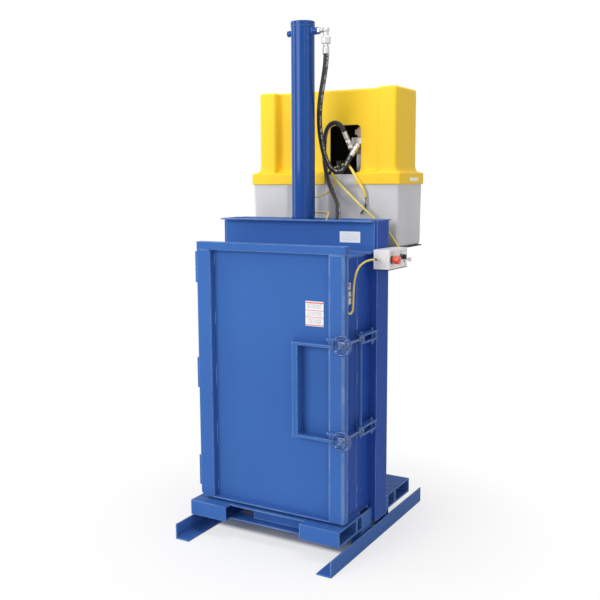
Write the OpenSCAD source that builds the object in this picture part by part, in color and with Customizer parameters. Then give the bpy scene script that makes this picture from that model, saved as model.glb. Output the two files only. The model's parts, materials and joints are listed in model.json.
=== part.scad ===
// Hydraulic drum crusher: floor frame, chamber with a hinged door, ram and platen,
// power unit on a rear shelf. Origin: on the floor, under the ram's axis.
// +X is to the right, +Y to the back, +Z up. Millimetres.

/* [Base] */
// Width over the two floor angles
base_w = 858; // [850:1:890]
// Length of a floor angle
angle_len = 1046; // [900:1:1300]
// Leg size of a floor angle
angle_leg = 76; // [70:1:90]
// Thickness of the floor angles
angle_t = 6; // [4:0.5:10]
// Height of the fork pockets' underside above the floor
pocket_z = 94; // [92:1:130]
// Outer height of a fork pocket
pocket_h = 73; // [60:1:100]
// Outer width of a fork pocket
pocket_w = 184; // [150:1:190]
// Length of a fork pocket
pocket_len = 207; // [160:1:215]
// Wall of the fork pockets
pocket_t = 6; // [4:0.5:8]
// Distance from the ram's axis to the inner side of a front pocket
front_pocket_y = 233; // [225:1:245]
// Distance from the ram's axis to the inner side of a rear pocket
rear_pocket_y = 212; // [200:1:230]
// Width of the cross channels' flanges
cross_flange = 55; // [40:1:60]
// Depth of a rear leg between floor angle and body
leg_d = 38; // [25:1:45]
// Gap between a front leg and the column behind it
leg_gap = 8; // [4:1:20]
// How far the front sill stands before the ram's axis
sill_y = 375; // [350:1:390]

/* [Body] */
// Width over the side plates
body_w = 772; // [760:1:776]
// Width of the door opening between the posts
opening_w = 684; // [670:1:700]
// Height of the chamber between floor and roof plate
chamber_h = 1219; // [1200:1:1300]
// Thickness of side, floor, roof and back plates
plate_t = 6; // [4:0.5:8]
// Distance from the ram's axis to the posts' front face
front_y = 314.5; // [305:0.5:325]
// Depth of a front post
post_d = 124.5; // [100:0.5:140]
// Wall of the front posts
post_t = 5; // [3:0.5:8]
// Outer corner radius of the front posts
post_r = 12; // [6:1:16]
// Distance from the ram's axis to the outside of the back
back_y = 346; // [340:1:360]
// Run of the slanted rear corners
corner_run = 230; // [180:1:240]

/* [Columns and top channels] */
// Width of a column's web
col_web = 127; // [115:1:140]
// Width of a column's flange
col_flange = 43; // [35:1:50]
// Thickness of the columns
col_t = 6; // [4:0.5:9]
// Height of the top channels
beam_h = 152; // [140:1:170]
// Flange width of the top channels
beam_flange = 51; // [40:1:55]
// Thickness of the top channels
beam_t = 7; // [5:0.5:9]
// How much shorter than the columns' outer faces each end of a top channel is
beam_inset = 12; // [5:1:20]

/* [Ram] */
// Outer diameter of the cylinder barrel
barrel_d = 114; // [108:1:118]
// Wall of the cylinder barrel
barrel_t = 9; // [7:0.5:12]
// Length of the cylinder barrel
barrel_len = 1022; // [1010:1:1060]
// Thickness of the end cap
cap_t = 22; // [15:1:30]
// Diameter of the piston rod
rod_d = 63; // [50:1:70]
// Working stroke
stroke = 820; // [700:5:830]
// Clear height under the raised platen
lift_h = 950; // [910:1:960]
// Thickness of the platen's plate
platen_t = 20; // [12:1:25]
// Width of the platen
platen_w = 650; // [600:1:660]
// Height of the platen's ribs
rib_h = 80; // [40:1:90]
// Thickness of the cylinder mount plate
mount_t = 25; // [15:1:30]
// Thickness of the cylinder's flange
flange_t = 22; // [15:1:22]
// Running clearance of rod and piston
run_gap = 0.05; // [0.02:0.01:0.08]

/* [Door] */
// Width of the door panel
door_w = 795; // [780:1:800]
// Height of the door
door_h = 1270; // [1200:1:1280]
// Depth of the door's members
door_d = 38; // [30:1:45]
// Width of the door's side members
member_w = 76; // [60:1:90]
// Height of the door's top band
band_h = 38; // [25:1:45]
// Wall of the door's members
member_t = 4; // [2:0.5:6]
// Thickness of the door's panel
panel_t = 6; // [4:0.5:8]
// Thickness of the bottom ledge
ledge_t = 6; // [4:0.5:10]
// Corner radius of the door's members
member_r = 10; // [5:1:14]
// Size of the cut at the door's lower left corner
corner_cut = 18; // [10:1:25]
// Gap between the closed door and the posts
door_gap = 0.5; // [0.4:0.1:1]

/* [Hinges and latches] */
// Length of a hinge
hinge_len = 150; // [120:1:160]
// Outer diameter of a hinge knuckle
knuckle_d = 22; // [20:1:24]
// Diameter of the hinge pins
hinge_pin_d = 12; // [9:1:13]
// Gap between the two knuckles of a hinge
knuckle_gap = 0.5; // [0.3:0.1:1]
// Height of the upper latch
upper_latch_z = 1018; // [960:1:1060]
// Height of the lower latch
lower_latch_z = 586; // [540:1:640]
// Thickness of the latch bars and lugs
lug_t = 12; // [8:1:14]
// How far the latch bars stand before the door's front
lug_proud = 16; // [12:1:20]
// Diameter of the swing bolts
bolt_d = 16; // [12:1:18]
// Play of a swing bolt between its lugs
bolt_play = 1.5; // [1:0.25:3]
// Distance from the ram's axis back to the latch rod
latch_rod_y = 207; // [190:1:225]
// Diameter of the latch rod
latch_rod_d = 14; // [10:1:16]
// Outer diameter of a handwheel
wheel_d = 98; // [85:1:110]
// Thickness of a handwheel's rim
rim_d = 12; // [8:1:14]

/* [Control box] */
// Width of the control box away from the column
cbox_w = 78; // [70:1:100]
// Length of the control box
cbox_len = 208; // [200:1:260]
// Height of the control box
cbox_h = 89; // [80:1:110]
// Distance from the ram's axis to the box's front face
cbox_front_y = 113; // [100:1:120]
// Distance from the roof plate's underside down to the box's underside
cbox_drop = 62; // [50:1:72]
// Wall of the control box
cbox_t = 3; // [2:0.5:4]
// Thickness of the box's bracket
bracket_t = 4; // [3:0.5:6]
// Diameter of the stop button's head
stop_d = 40; // [30:1:45]
// Travel of the stop button
stop_travel = 6; // [3:0.5:8]

/* [Power unit] */
// Width of the bin
bin_w = 842; // [830:1:848]
// Depth of the bin
bin_d = 307; // [303:1:312]
// Height of the bin
bin_h = 363; // [355:1:375]
// Wall of the bin
bin_t = 6; // [4:0.5:8]
// Distance from the ram's axis to the bin's front
bin_y = 196; // [192:1:200]
// Thickness of the shelf
shelf_t = 6; // [4:0.5:10]
// How far the hood's rim stands out beyond the bin
rim_lap = 7; // [7:0.5:12]
// Height of the hood's rim
rim_h = 56; // [50:1:62]
// Height of the hood above its rim
hood_h = 417; // [390:1:440]
// Width of the hood above its rim
hood_w = 780; // [770:1:786]
// Depth of the hood above its rim
hood_d = 265; // [262:1:272]
// How far the hood above its rim stands back from the rim's front
hood_set = 12.5; // [10:0.5:15]
// How far the hood above its rim sits to the right of the rim's middle
hood_shift = 10; // [0:1:14]
// Wall of the hood
hood_t = 5; // [3:0.5:6]
// Corner radius of bin and hood
hood_r = 14; // [10:1:18]
// Width of the hood's end blocks
end_block_w = 100; // [80:1:115]
// How far the hood's middle stands back from its end blocks
recess_d = 55; // [50:1:58]
// Left side of the notch, from the ram's axis
notch_x0 = 15; // [10:1:20]
// Width of the notch
notch_w = 175; // [170:1:180]
// Height of the notch above the rim's top
notch_h = 241; // [235:1:250]

/* [Hoses and cables] */
// Diameter of the upper hose
upper_hose_d = 26; // [22:1:28]
// Diameter of the lower hose
lower_hose_d = 23; // [20:1:25]
// Diameter of the control cable
control_cable_d = 10; // [8:1:11]
// Diameter of the interlock cable
interlock_cable_d = 9; // [7:0.5:10]
// Diameter of the sensor cable
sensor_cable_d = 8; // [6:0.5:9]
// Diameter of the supply cable
supply_cable_d = 14; // [11:1:15]

/* [Hidden] */
$fn = 48;
blue = "#3468ae";
dark_blue = "#2c4f9e";
silver = "#b9bcc0";
black = "#26282b";
yellow = "#f5c52c";
pale_grey = "#cfcfd2";
rubber_black = "#33373c";
cable_yellow = "#ecd24e";

// Levels and faces that several pieces share
body_z = pocket_z + pocket_h;
floor_z = body_z + plate_t;
roof_z = floor_z + chamber_h;
beam_z = roof_z + plate_t;
top_z = beam_z + beam_h;
half_base = base_w / 2;
half_body = body_w / 2;
half_open = opening_w / 2;
half_in = half_body - plate_t;
half_col = half_body + col_flange;
col_y = col_web / 2;
pocket_inset = 16;
pocket_out = half_base - pocket_inset;
pocket_in = pocket_out - pocket_len;
leg_in = half_base - angle_leg;
post_y = front_y - post_d;
slant_y = back_y - corner_run;
slant_x = half_body - corner_run;
slant_inset = plate_t * (sqrt(2) - 1);

// A box given by its two corners
module block(x, y, z) {
    translate([x[0], y[0], z[0]])
        cube([x[1] - x[0], y[1] - y[0], z[1] - z[0]]);
}

// The same shape on the left and on the right
module both_sides() {
    children();
    mirror([1, 0, 0]) children();
}

// A cylinder whose axis lies along X
module rod_x(x0, x1, y, z, d) {
    translate([x0, y, z])
        rotate([0, 90, 0]) cylinder(d = d, h = x1 - x0);
}

// A cylinder whose axis lies along Y
module rod_y(y0, y1, x, z, d) {
    translate([x, y1, z])
        rotate([90, 0, 0]) cylinder(d = d, h = y1 - y0);
}

// A cylinder whose axis lies along Z
module rod_z(z0, z1, x, y, d) {
    translate([x, y, z0]) cylinder(d = d, h = z1 - z0);
}

// A cylinder between two points
module rod_between(a, b, d) {
    v = b - a;
    translate(a)
        rotate([0, acos(v[2] / norm(v)), atan2(v[1], v[0])])
            cylinder(d = d, h = norm(v));
}

// A rectangle with its four corners rounded
module round_rect(x, y, r) {
    translate([x[0] + r, y[0]]) square([x[1] - x[0] - 2 * r, y[1] - y[0]]);
    translate([x[0], y[0] + r]) square([x[1] - x[0], y[1] - y[0] - 2 * r]);
    for (px = [x[0] + r, x[1] - r], py = [y[0] + r, y[1] - r])
        translate([px, py]) circle(r = r);
}

// ---- Base ----

module floor_angle() {
    color(blue) {
        block([half_base - angle_t, half_base], [-angle_len / 2, angle_len / 2], [0, angle_leg]);
        block([leg_in, half_base - angle_t], [-angle_len / 2, angle_len / 2], [0, angle_t]);
    }
}

module left_floor_angle() {
    mirror([1, 0, 0]) floor_angle();
}

module right_floor_angle() {
    floor_angle();
}

// Front and rear faces of the cross channels
front_cross_y = [-front_pocket_y, -front_pocket_y + cross_flange];
rear_cross_extra = 28;
rear_cross_y = [rear_pocket_y - cross_flange - rear_cross_extra, rear_pocket_y];

// A leg's outer face and its two returns, open towards the middle
module leg(y0, y1) {
    difference() {
        block([leg_in, pocket_out], [y0, y1], [angle_t, body_z]);
        block([leg_in - 1, pocket_out - pocket_t], [y0 + pocket_t, y1 - pocket_t],
              [angle_t - 1, body_z + 1]);
    }
}

module base_legs() {
    color(blue) both_sides() {
        leg(front_cross_y[1], -col_y - leg_gap);
        leg(rear_cross_y[0] - leg_d, rear_cross_y[0]);
    }
}

// A channel lying along X with its web at one side
module cross_channel(y, web_front) {
    web_y = web_front ? [y[0] - 1, y[0] + pocket_t] : [y[1] - pocket_t, y[1] + 1];
    inner_y = web_front ? [web_y[1], y[1] + 1] : [y[0] - 1, web_y[0]];
    difference() {
        block([-pocket_out, pocket_out], y, [pocket_z, body_z]);
        block([-pocket_out - 1, pocket_out + 1], inner_y, [pocket_z + pocket_t, body_z - pocket_t]);
    }
}

module front_cross_channel() {
    color(blue) cross_channel(front_cross_y, true);
}

module rear_cross_channel() {
    color(blue) cross_channel(rear_cross_y, false);
}

// A square tube, open at both ends, for one tine of a lift truck
module fork_pocket(y) {
    difference() {
        block([pocket_in, pocket_out], y, [pocket_z, body_z]);
        block([pocket_in - 1, pocket_out + 1], [y[0] + pocket_t, y[1] - pocket_t],
              [pocket_z + pocket_t, body_z - pocket_t]);
    }
}

front_pocket_span = [-front_pocket_y - pocket_w, -front_pocket_y];
rear_pocket_span = [rear_pocket_y, rear_pocket_y + pocket_w];

module front_fork_pockets() {
    color(blue) both_sides() fork_pocket(front_pocket_span);
}

module rear_fork_pockets() {
    color(blue) both_sides() fork_pocket(rear_pocket_span);
}

// Channel between the front pockets, open to the front; its web stops short on the left
sill_back = front_y - 20;
sill_web_y = -front_y - 8;
sill_web_x = [-pocket_in / 2, pocket_in - 11];

module front_sill() {
    color(blue) {
        block([-pocket_in, pocket_in], [-sill_y, -sill_back], [pocket_z, pocket_z + pocket_t]);
        block([-pocket_in, pocket_in], [-sill_y, -sill_back], [body_z - pocket_t, body_z]);
        block(sill_web_x, [sill_web_y, sill_web_y + pocket_t],
              [pocket_z + pocket_t, body_z - pocket_t]);
    }
}

// ---- Body ----

// Plan of the floor and the roof: straight front, slanted rear corners
module body_plan() {
    polygon([
        [-half_body, -front_y], [half_body, -front_y], [half_body, slant_y],
        [slant_x, back_y], [-slant_x, back_y], [-half_body, slant_y]
    ]);
}

module chamber_floor() {
    color(blue) translate([0, 0, body_z]) linear_extrude(plate_t) body_plan();
}

roof_hole_d = 150;

module roof_plate() {
    color(blue) difference() {
        translate([0, 0, roof_z]) linear_extrude(plate_t) body_plan();
        rod_z(roof_z - 1, beam_z + 1, 0, 0, roof_hole_d);
    }
}

module side_plates() {
    color(blue) both_sides()
        block([half_in, half_body], [-post_y, col_y], [floor_z, roof_z]);
}

// One folded sheet: two short sides, two slanted corners and the back
module back_shell() {
    color(blue) translate([0, 0, floor_z]) linear_extrude(chamber_h) polygon([
        [half_body, col_y], [half_body, slant_y], [slant_x, back_y], [-slant_x, back_y],
        [-half_body, slant_y], [-half_body, col_y], [-half_in, col_y],
        [-half_in, slant_y - slant_inset], [-slant_x + slant_inset, back_y - plate_t],
        [slant_x - slant_inset, back_y - plate_t], [half_in, slant_y - slant_inset],
        [half_in, col_y]
    ]);
}

// Rectangle whose corner at high X and low Y is rounded
module one_round_corner(x, y, r) {
    translate([x[0], y[0]]) square([x[1] - x[0] - r, y[1] - y[0]]);
    translate([x[0], y[0] + r]) square([x[1] - x[0], y[1] - y[0] - r]);
    translate([x[1] - r, y[0] + r]) circle(r = r);
}

module front_posts() {
    color(blue) both_sides() translate([0, 0, floor_z]) linear_extrude(chamber_h) difference() {
        one_round_corner([half_open, half_body], [-front_y, -post_y], post_r);
        one_round_corner([half_open + post_t, half_body - post_t],
                         [-front_y + post_t, -post_y - post_t], max(post_r - post_t, 1));
    }
}

module column() {
    color(blue) {
        block([half_col - col_t, half_col], [-col_y, col_y], [pocket_z, top_z]);
        for (y = [-col_y, col_y - col_t])
            block([half_body, half_col - col_t], [y, y + col_t], [pocket_z, top_z]);
    }
}

module left_column() {
    mirror([1, 0, 0]) column();
}

module right_column() {
    column();
}

beam_x = half_col - beam_inset;

// A channel whose flanges point forward, against the columns' front faces
module top_channel() {
    color(blue) {
        block([-beam_x, beam_x], [-col_y - beam_t, -col_y], [beam_z, top_z]);
        for (z = [beam_z, top_z - beam_t])
            block([-beam_x, beam_x], [-col_y - beam_flange, -col_y - beam_t], [z, z + beam_t]);
    }
}

module front_top_channel() {
    top_channel();
}

module rear_top_channel() {
    mirror([0, 1, 0]) top_channel();
}

// ---- Cylinder, rod and platen ----

mount_x = 120;
mount_z = beam_z + 42;
barrel_z = mount_z;
barrel_top = barrel_z + barrel_len;
bore_d = barrel_d - 2 * barrel_t;
seat_gap = 0.3;
flange_w = 2 * col_y - 7;
flange_bolt_at = flange_w / 2 - 12;
flange_bolt_d = 12;

module cylinder_mount_plate() {
    color(blue) difference() {
        block([-mount_x, mount_x], [-col_y, col_y], [mount_z, mount_z + mount_t]);
        rod_z(mount_z - 1, mount_z + mount_t + 1, 0, 0, barrel_d + 2 * seat_gap);
        for (x = [-1, 1], y = [-1, 1])
            rod_z(mount_z - 1, mount_z + mount_t + 1, x * flange_bolt_at, y * flange_bolt_at,
                  flange_bolt_d + 1);
    }
}

// Four bolts with their heads below the flange and nuts above the plate
module mount_bolts() {
    head_d = 18;
    head_h = 8;
    tip = 4;
    color(silver) for (x = [-1, 1], y = [-1, 1])
        translate([x * flange_bolt_at, y * flange_bolt_at, 0]) {
            rod_z(mount_z - flange_t, mount_z + mount_t + head_h + tip, 0, 0, flange_bolt_d);
            translate([0, 0, mount_z - flange_t - head_h]) cylinder(d = head_d, h = head_h, $fn = 6);
            translate([0, 0, mount_z + mount_t]) cylinder(d = head_d, h = head_h, $fn = 6);
        }
}

port_top_z = barrel_top - 25;
port_low_z = barrel_z + 50;
port_boss_d = 34;
port_boss_x = barrel_d / 2 + 27;
low_boss_x = barrel_d / 2 + 20;

module cylinder_barrel() {
    color(blue) difference() {
        union() {
            rod_z(barrel_z, barrel_top, 0, 0, barrel_d);
            rod_x(0, port_boss_x, 0, port_top_z, port_boss_d);
            rod_x(-barrel_d / 2 - 24, 0, 0, port_top_z - 2, port_boss_d - 5);
            rod_x(0, low_boss_x, 0, port_low_z, port_boss_d);
        }
        rod_z(barrel_z - 1, barrel_top + 1, 0, 0, bore_d);
        rod_x(0, port_boss_x + 1, 0, port_top_z, 14);
        rod_x(0, low_boss_x + 1, 0, port_low_z, 14);
    }
}

module cylinder_end_cap() {
    color(blue) {
        rod_z(barrel_top - 3, barrel_top, 0, 0, bore_d - 2 * run_gap);
        rod_z(barrel_top, barrel_top + cap_t, 0, 0, barrel_d + 3);
    }
}

gland_spigot = 28;
gland_nose = 18;

// Flange, spigot inside the barrel and nose around the rod
module cylinder_gland() {
    color(dark_blue) difference() {
        union() {
            block([-flange_w / 2, flange_w / 2], [-flange_w / 2, flange_w / 2],
                  [mount_z - flange_t, mount_z]);
            rod_z(mount_z, mount_z + gland_spigot, 0, 0, bore_d - 2 * run_gap);
            rod_z(mount_z - flange_t - gland_nose, mount_z - flange_t, 0, 0, rod_d + 24);
        }
        rod_z(mount_z - flange_t - gland_nose - 1, mount_z + gland_spigot + 1, 0, 0,
              rod_d + 2 * run_gap);
        for (x = [-1, 1], y = [-1, 1])
            rod_z(mount_z - flange_t - 1, mount_z + 1, x * flange_bolt_at, y * flange_bolt_at,
                  flange_bolt_d + 1);
    }
}

piston_h = 60;
piston_top = port_top_z - 17;
platen_z = floor_z + lift_h;
rod_end_z = platen_z + platen_t;

module piston() {
    color(silver) difference() {
        rod_z(piston_top - piston_h, piston_top, 0, 0, bore_d - 2 * run_gap);
        rod_z(piston_top - piston_h - 1, piston_top + 1, 0, 0, rod_d - 20);
    }
}

module piston_rod() {
    color(silver) {
        rod_z(rod_end_z, piston_top - piston_h, 0, 0, rod_d);
        rod_z(piston_top - piston_h, piston_top + 5, 0, 0, rod_d - 20);
    }
}

platen_front = front_y - 16;
platen_back = back_y - plate_t - 15;
half_platen = platen_w / 2;
platen_slant = half_body + slant_y - plate_t - 30;
platen_nose = 40;
rib_t = 10;
rib_at = 150;
socket_d = rod_d + 34;

// Plate with slanted rear corners, crossed ribs and a socket for the rod
module platen() {
    color(dark_blue) difference() {
        union() {
            translate([0, 0, platen_z]) linear_extrude(platen_t) polygon([
                [-half_platen + platen_nose, -platen_front], [half_platen - platen_nose, -platen_front],
                [half_platen, -platen_front + platen_nose], [half_platen, platen_slant - half_platen],
                [platen_slant - platen_back, platen_back], [platen_back - platen_slant, platen_back],
                [-half_platen, platen_slant - half_platen], [-half_platen, -platen_front + platen_nose]
            ]);
            for (x = [-rib_at, rib_at])
                block([x - rib_t / 2, x + rib_t / 2], [-platen_front + platen_nose, platen_back - 60],
                      [rod_end_z, rod_end_z + rib_h]);
            for (y = [-rib_at, rib_at])
                block([-half_platen + 30, half_platen - 30], [y - rib_t / 2, y + rib_t / 2],
                      [rod_end_z, rod_end_z + rib_h]);
            block([-rib_at, rib_at], [-rib_t / 2, rib_t / 2], [rod_end_z, rod_end_z + rib_h]);
            rod_z(rod_end_z, rod_end_z + rib_h, 0, 0, socket_d);
        }
        rod_z(rod_end_z, rod_end_z + rib_h + 1, 0, 0, rod_d + 2 * run_gap);
    }
}

// Elbow from a port to the crimped end of a hose
module port_elbow(x_start, x, z, turn) {
    nut_w = 46;
    color(silver) {
        translate([x_start, 0, z]) rotate([0, 90, 0]) cylinder(d = 32, h = 14, $fn = 6);
        rod_x(x_start + 14, x, 0, z, 22);
        translate([x, 0, z]) sphere(d = 36);
        translate([x, 0, z]) mirror([0, 0, turn < 0 ? 1 : 0]) {
            cylinder(d = 26, h = elbow_nut);
            translate([0, 0, elbow_nut]) cylinder(d = nut_w, h = elbow_nut_h, $fn = 6);
            translate([0, 0, elbow_nut + elbow_nut_h]) cylinder(d = 33, h = ferrule_h);
        }
    }
}

elbow_nut = 30;
elbow_nut_h = 34;
ferrule_h = 46;
upper_elbow_x = 126;
lower_elbow_x = 190;
low_ferrule_h = 30;

module port_elbows() {
    port_elbow(port_boss_x, upper_elbow_x, port_top_z, -1);
    color(silver) {
        translate([low_boss_x, 0, port_low_z]) rotate([0, 90, 0]) cylinder(d = 32, h = 16, $fn = 6);
        rod_x(low_boss_x + 16, lower_elbow_x, 0, port_low_z, 22);
        translate([lower_elbow_x, 0, port_low_z]) sphere(d = 34);
        rod_z(port_low_z, port_low_z + 20, lower_elbow_x, 0, 24);
        rod_z(port_low_z + 20, port_low_z + 20 + low_ferrule_h, lower_elbow_x, 0, 30);
    }
}

// ---- Door ----

door_back = front_y + door_gap;
panel_front = door_back + panel_t;
door_front = panel_front + door_d;
door_z = floor_z + 5;
door_top = door_z + door_h;
door_x0 = -half_body - 3;
door_x1 = door_x0 + door_w;
band_over = 8;

module door_panel() {
    color(blue) translate([0, -door_back, 0]) rotate([90, 0, 0]) linear_extrude(panel_t) polygon([
        [door_x0 + corner_cut, door_z], [door_x1, door_z], [door_x1, door_top],
        [door_x0, door_top], [door_x0, door_z + corner_cut]
    ]);
}

// A hollow upright whose front corner on one side is rounded
module door_member() {
    difference() {
        one_round_corner([0, member_w], [0, door_d], member_r);
        translate([member_t, member_t])
            square([member_w - 2 * member_t, door_d - 2 * member_t]);
    }
}

module door_left_member() {
    color(blue) difference() {
        translate([door_x0, -door_front, door_z])
            linear_extrude(door_h - band_h) door_member();
        translate([door_x0, -door_back, door_z]) rotate([90, 0, 0]) linear_extrude(door_d * 2)
            polygon([[-1, -1], [corner_cut, -1], [corner_cut, 0], [0, corner_cut], [-1, corner_cut]]);
    }
}

module door_right_member() {
    color(blue) translate([door_x1 - member_w, -door_front, door_z])
        linear_extrude(door_h - band_h) door_member();
}

module door_top_band() {
    color(blue) translate([0, 0, door_top - band_h]) linear_extrude(band_h)
        one_round_corner([door_x0, door_x1 + band_over], [-door_front, -panel_front], member_r);
}

module door_bottom_ledge() {
    color(blue) block([door_x0 + member_w, door_x1 - member_w], [-door_front, -panel_front],
                      [door_z, door_z + ledge_t]);
}

// Latch: two lugs on the door straddle the swing bolt
latch_x = door_x1 + 2 + bolt_d / 2;
lug_gap = bolt_d + 2 * bolt_play;
lug_x1 = latch_x + bolt_d;
lug_front = door_front + lug_proud;
handle_x = 148;
handle_w = 28;
bar_x0 = handle_x - 24;
short_lug_x = door_x1 - member_w - 14;

module long_bar(z) {
    translate([0, 0, z]) linear_extrude(lug_t) polygon([
        [bar_x0, -panel_front], [bar_x0, -panel_front - 16], [handle_x, -lug_front],
        [lug_x1, -lug_front], [lug_x1, -door_front], [door_x1 - member_w, -door_front],
        [door_x1 - member_w, -panel_front]
    ]);
}

module short_lug(z) {
    translate([0, 0, z]) linear_extrude(lug_t) polygon([
        [short_lug_x, -door_front], [short_lug_x + 16, -lug_front], [lug_x1, -lug_front],
        [lug_x1, -door_front]
    ]);
}

module door_latch_bars() {
    color(blue) {
        for (z = [upper_latch_z, lower_latch_z]) {
            long_bar(z - lug_gap / 2 - lug_t);
            short_lug(z + lug_gap / 2);
        }
        block([handle_x, handle_x + handle_w], [-lug_front, -panel_front],
              [lower_latch_z - lug_gap / 2, upper_latch_z - lug_gap / 2 - lug_t]);
    }
}

// ---- Hinges ----

hinge_x = door_x0 - 13;
hinge_y = -front_y - 21.5;
hinge_margin = 50;
hinge_tops = [door_top - hinge_margin, door_top - 0.45 * door_h, door_z + hinge_margin + hinge_len];
half_hinge = (hinge_len - knuckle_gap) / 2;

module hinge_frame_knuckles() {
    color(blue) for (top = hinge_tops) difference() {
        union() {
            rod_z(top - hinge_len, top - hinge_len + half_hinge, hinge_x, hinge_y, knuckle_d);
            block([hinge_x + 5, -half_body - 4], [hinge_y, -front_y + 40],
                  [top - hinge_len, top - hinge_len + half_hinge]);
            block([hinge_x + 5, -half_body], [-front_y + 2, -front_y + 40],
                  [top - hinge_len, top - hinge_len + half_hinge]);
        }
        rod_z(top - hinge_len - 1, top, hinge_x, hinge_y, hinge_pin_d);
    }
}

module hinge_door_knuckles() {
    color(blue) for (top = hinge_tops) difference() {
        union() {
            rod_z(top - half_hinge, top, hinge_x, hinge_y, knuckle_d);
            block([hinge_x, door_x0], [hinge_y - 9, hinge_y + 9], [top - half_hinge, top]);
        }
        rod_z(top - hinge_len, top + 1, hinge_x, hinge_y, hinge_pin_d + 2 * run_gap);
    }
}

module hinge_pins() {
    color(silver) for (top = hinge_tops)
        rod_z(top - hinge_len, top + 2, hinge_x, hinge_y, hinge_pin_d);
}

// ---- Latches on the frame ----

eye_h = 24;
eye_d = 34;
lug_clear = 1;
ear_t = 8;
ear_x = [latch_x - 17, latch_x + 17];
stay_y = -col_y - 25;
stay_d = 12;
stay_drop = 20;

// Two ears on the column, one above and one below the bolt's eye, stayed by a bolt behind it
module latch_brackets() {
    color(blue) for (z = [upper_latch_z, lower_latch_z]) difference() {
        union() {
            for (z0 = [z + eye_h / 2 + lug_clear, z - eye_h / 2 - lug_clear - ear_t]) {
                block(ear_x, [-latch_rod_y, -col_y], [z0, z0 + ear_t]);
                rod_z(z0, z0 + ear_t, latch_x, -latch_rod_y, ear_x[1] - ear_x[0]);
            }
            block([ear_x[0], half_col], [-col_y - ear_t, -col_y],
                  [z - eye_h / 2 - lug_clear - ear_t, z + eye_h / 2 + lug_clear + ear_t]);
            rod_z(z - eye_h - stay_drop, z + eye_h + stay_drop / 2, latch_x, stay_y, stay_d);
            translate([latch_x, stay_y, z - eye_h - stay_drop / 2])
                cylinder(d = 2 * stay_d, h = stay_drop / 2, $fn = 6);
        }
        rod_z(z - eye_h, z + eye_h, latch_x, -latch_rod_y, latch_rod_d + 2 * run_gap);
    }
}

module latch_hinge_rod() {
    color(blue)
        rod_z(lower_latch_z - eye_h / 2 - 20, upper_latch_z + eye_h / 2 + 20, latch_x, -latch_rod_y,
              latch_rod_d);
}

wheel_y = lug_front + 25;
hub_d = 40;
hub_h = 30;
bolt_end = lug_front + 1 + hub_h + 8;

// Eye around the latch rod and a threaded shank towards the door
module swing_bolt(z) {
    color(blue) difference() {
        union() {
            rod_z(z - eye_h / 2, z + eye_h / 2, latch_x, -latch_rod_y, eye_d);
            rod_y(-bolt_end, -latch_rod_y, latch_x, z, bolt_d);
        }
        rod_z(z - eye_h, z + eye_h, latch_x, -latch_rod_y, latch_rod_d + 2 * run_gap);
    }
}

module upper_swing_bolt() {
    swing_bolt(upper_latch_z);
}

module lower_swing_bolt() {
    swing_bolt(lower_latch_z);
}

// Rim, four spokes and a threaded hub
module handwheel(z) {
    spoke_d = 9;
    rim_r = (wheel_d - rim_d) / 2;
    color(blue) translate([latch_x, -wheel_y, z]) rotate([90, 0, 0]) difference() {
        union() {
            rotate_extrude() translate([rim_r, 0]) circle(d = rim_d, $fn = 24);
            for (a = [45 : 90 : 315])
                rotate([0, 90, a]) cylinder(d = spoke_d, h = rim_r);
            translate([0, 0, -wheel_y + lug_front + 1]) cylinder(d = hub_d, h = hub_h);
        }
        translate([0, 0, -hub_h - 1]) cylinder(d = bolt_d + 2 * run_gap, h = 3 * hub_h);
    }
}

module upper_handwheel() {
    handwheel(upper_latch_z);
}

module lower_handwheel() {
    handwheel(lower_latch_z);
}

// ---- Interlock and controls ----

switch_w = 16;
switch_y = [-front_y + 2.5, -front_y + 34.5];
switch_z = [roof_z - 206, roof_z - 109];
switch_boss_h = 12;
switch_boss_d = 14;
switch_boss_at = [half_body + 9, -front_y + 9.5];

module interlock_switch() {
    color(pale_grey) {
        block([half_body, half_body + switch_w], switch_y, switch_z);
        rod_z(switch_z[0] - switch_boss_h, switch_z[0], switch_boss_at[0], switch_boss_at[1],
              switch_boss_d);
    }
}

cbox_z = roof_z - cbox_drop;
cbox_x = half_col + bracket_t;
cbox_face = cbox_x + cbox_w;
cbox_top = cbox_z + cbox_h;
cbox_back = cbox_len - cbox_front_y;

module control_box() {
    color(pale_grey) difference() {
        block([cbox_x, cbox_face], [-cbox_front_y, cbox_back], [cbox_z, cbox_top]);
        block([cbox_x + cbox_t, cbox_face - cbox_t], [-cbox_front_y + cbox_t, cbox_back - cbox_t],
              [cbox_z + cbox_t, cbox_top - cbox_t]);
        for (b = [stop_at, selector_at, key_at])
            rod_x(cbox_face - cbox_t - 1, cbox_face + 1, b[0], b[1], barrel_hole_d);
    }
}

module control_box_bracket() {
    color(black) {
        block([half_col, cbox_face], [-cbox_front_y, cbox_back], [cbox_z - bracket_t, cbox_z]);
        block([half_col, cbox_x], [-col_y, col_y], [cbox_z, cbox_top]);
    }
}

// Places of the three controls on the box's face: Y and Z
stop_at = [30 - cbox_front_y, cbox_z + 43];
selector_at = [cbox_back - 72, cbox_z + 50];
key_at = [cbox_back - 26, cbox_z + 34];
barrel_hole_d = 22;
barrel_d_run = barrel_hole_d - 2 * run_gap;
barrel_in = 30;

// Barrel that passes through the box's face
module button_barrel(at) {
    rod_x(cbox_face - barrel_in, cbox_face + 1, at[0], at[1], barrel_d_run);
}

module stop_button() {
    color("#d8442c") {
        rod_x(cbox_face - barrel_in, cbox_face + stop_travel + 8, stop_at[0], stop_at[1], barrel_d_run);
        rod_x(cbox_face + stop_travel + 8, cbox_face + 42, stop_at[0], stop_at[1], stop_d);
    }
}

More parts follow.
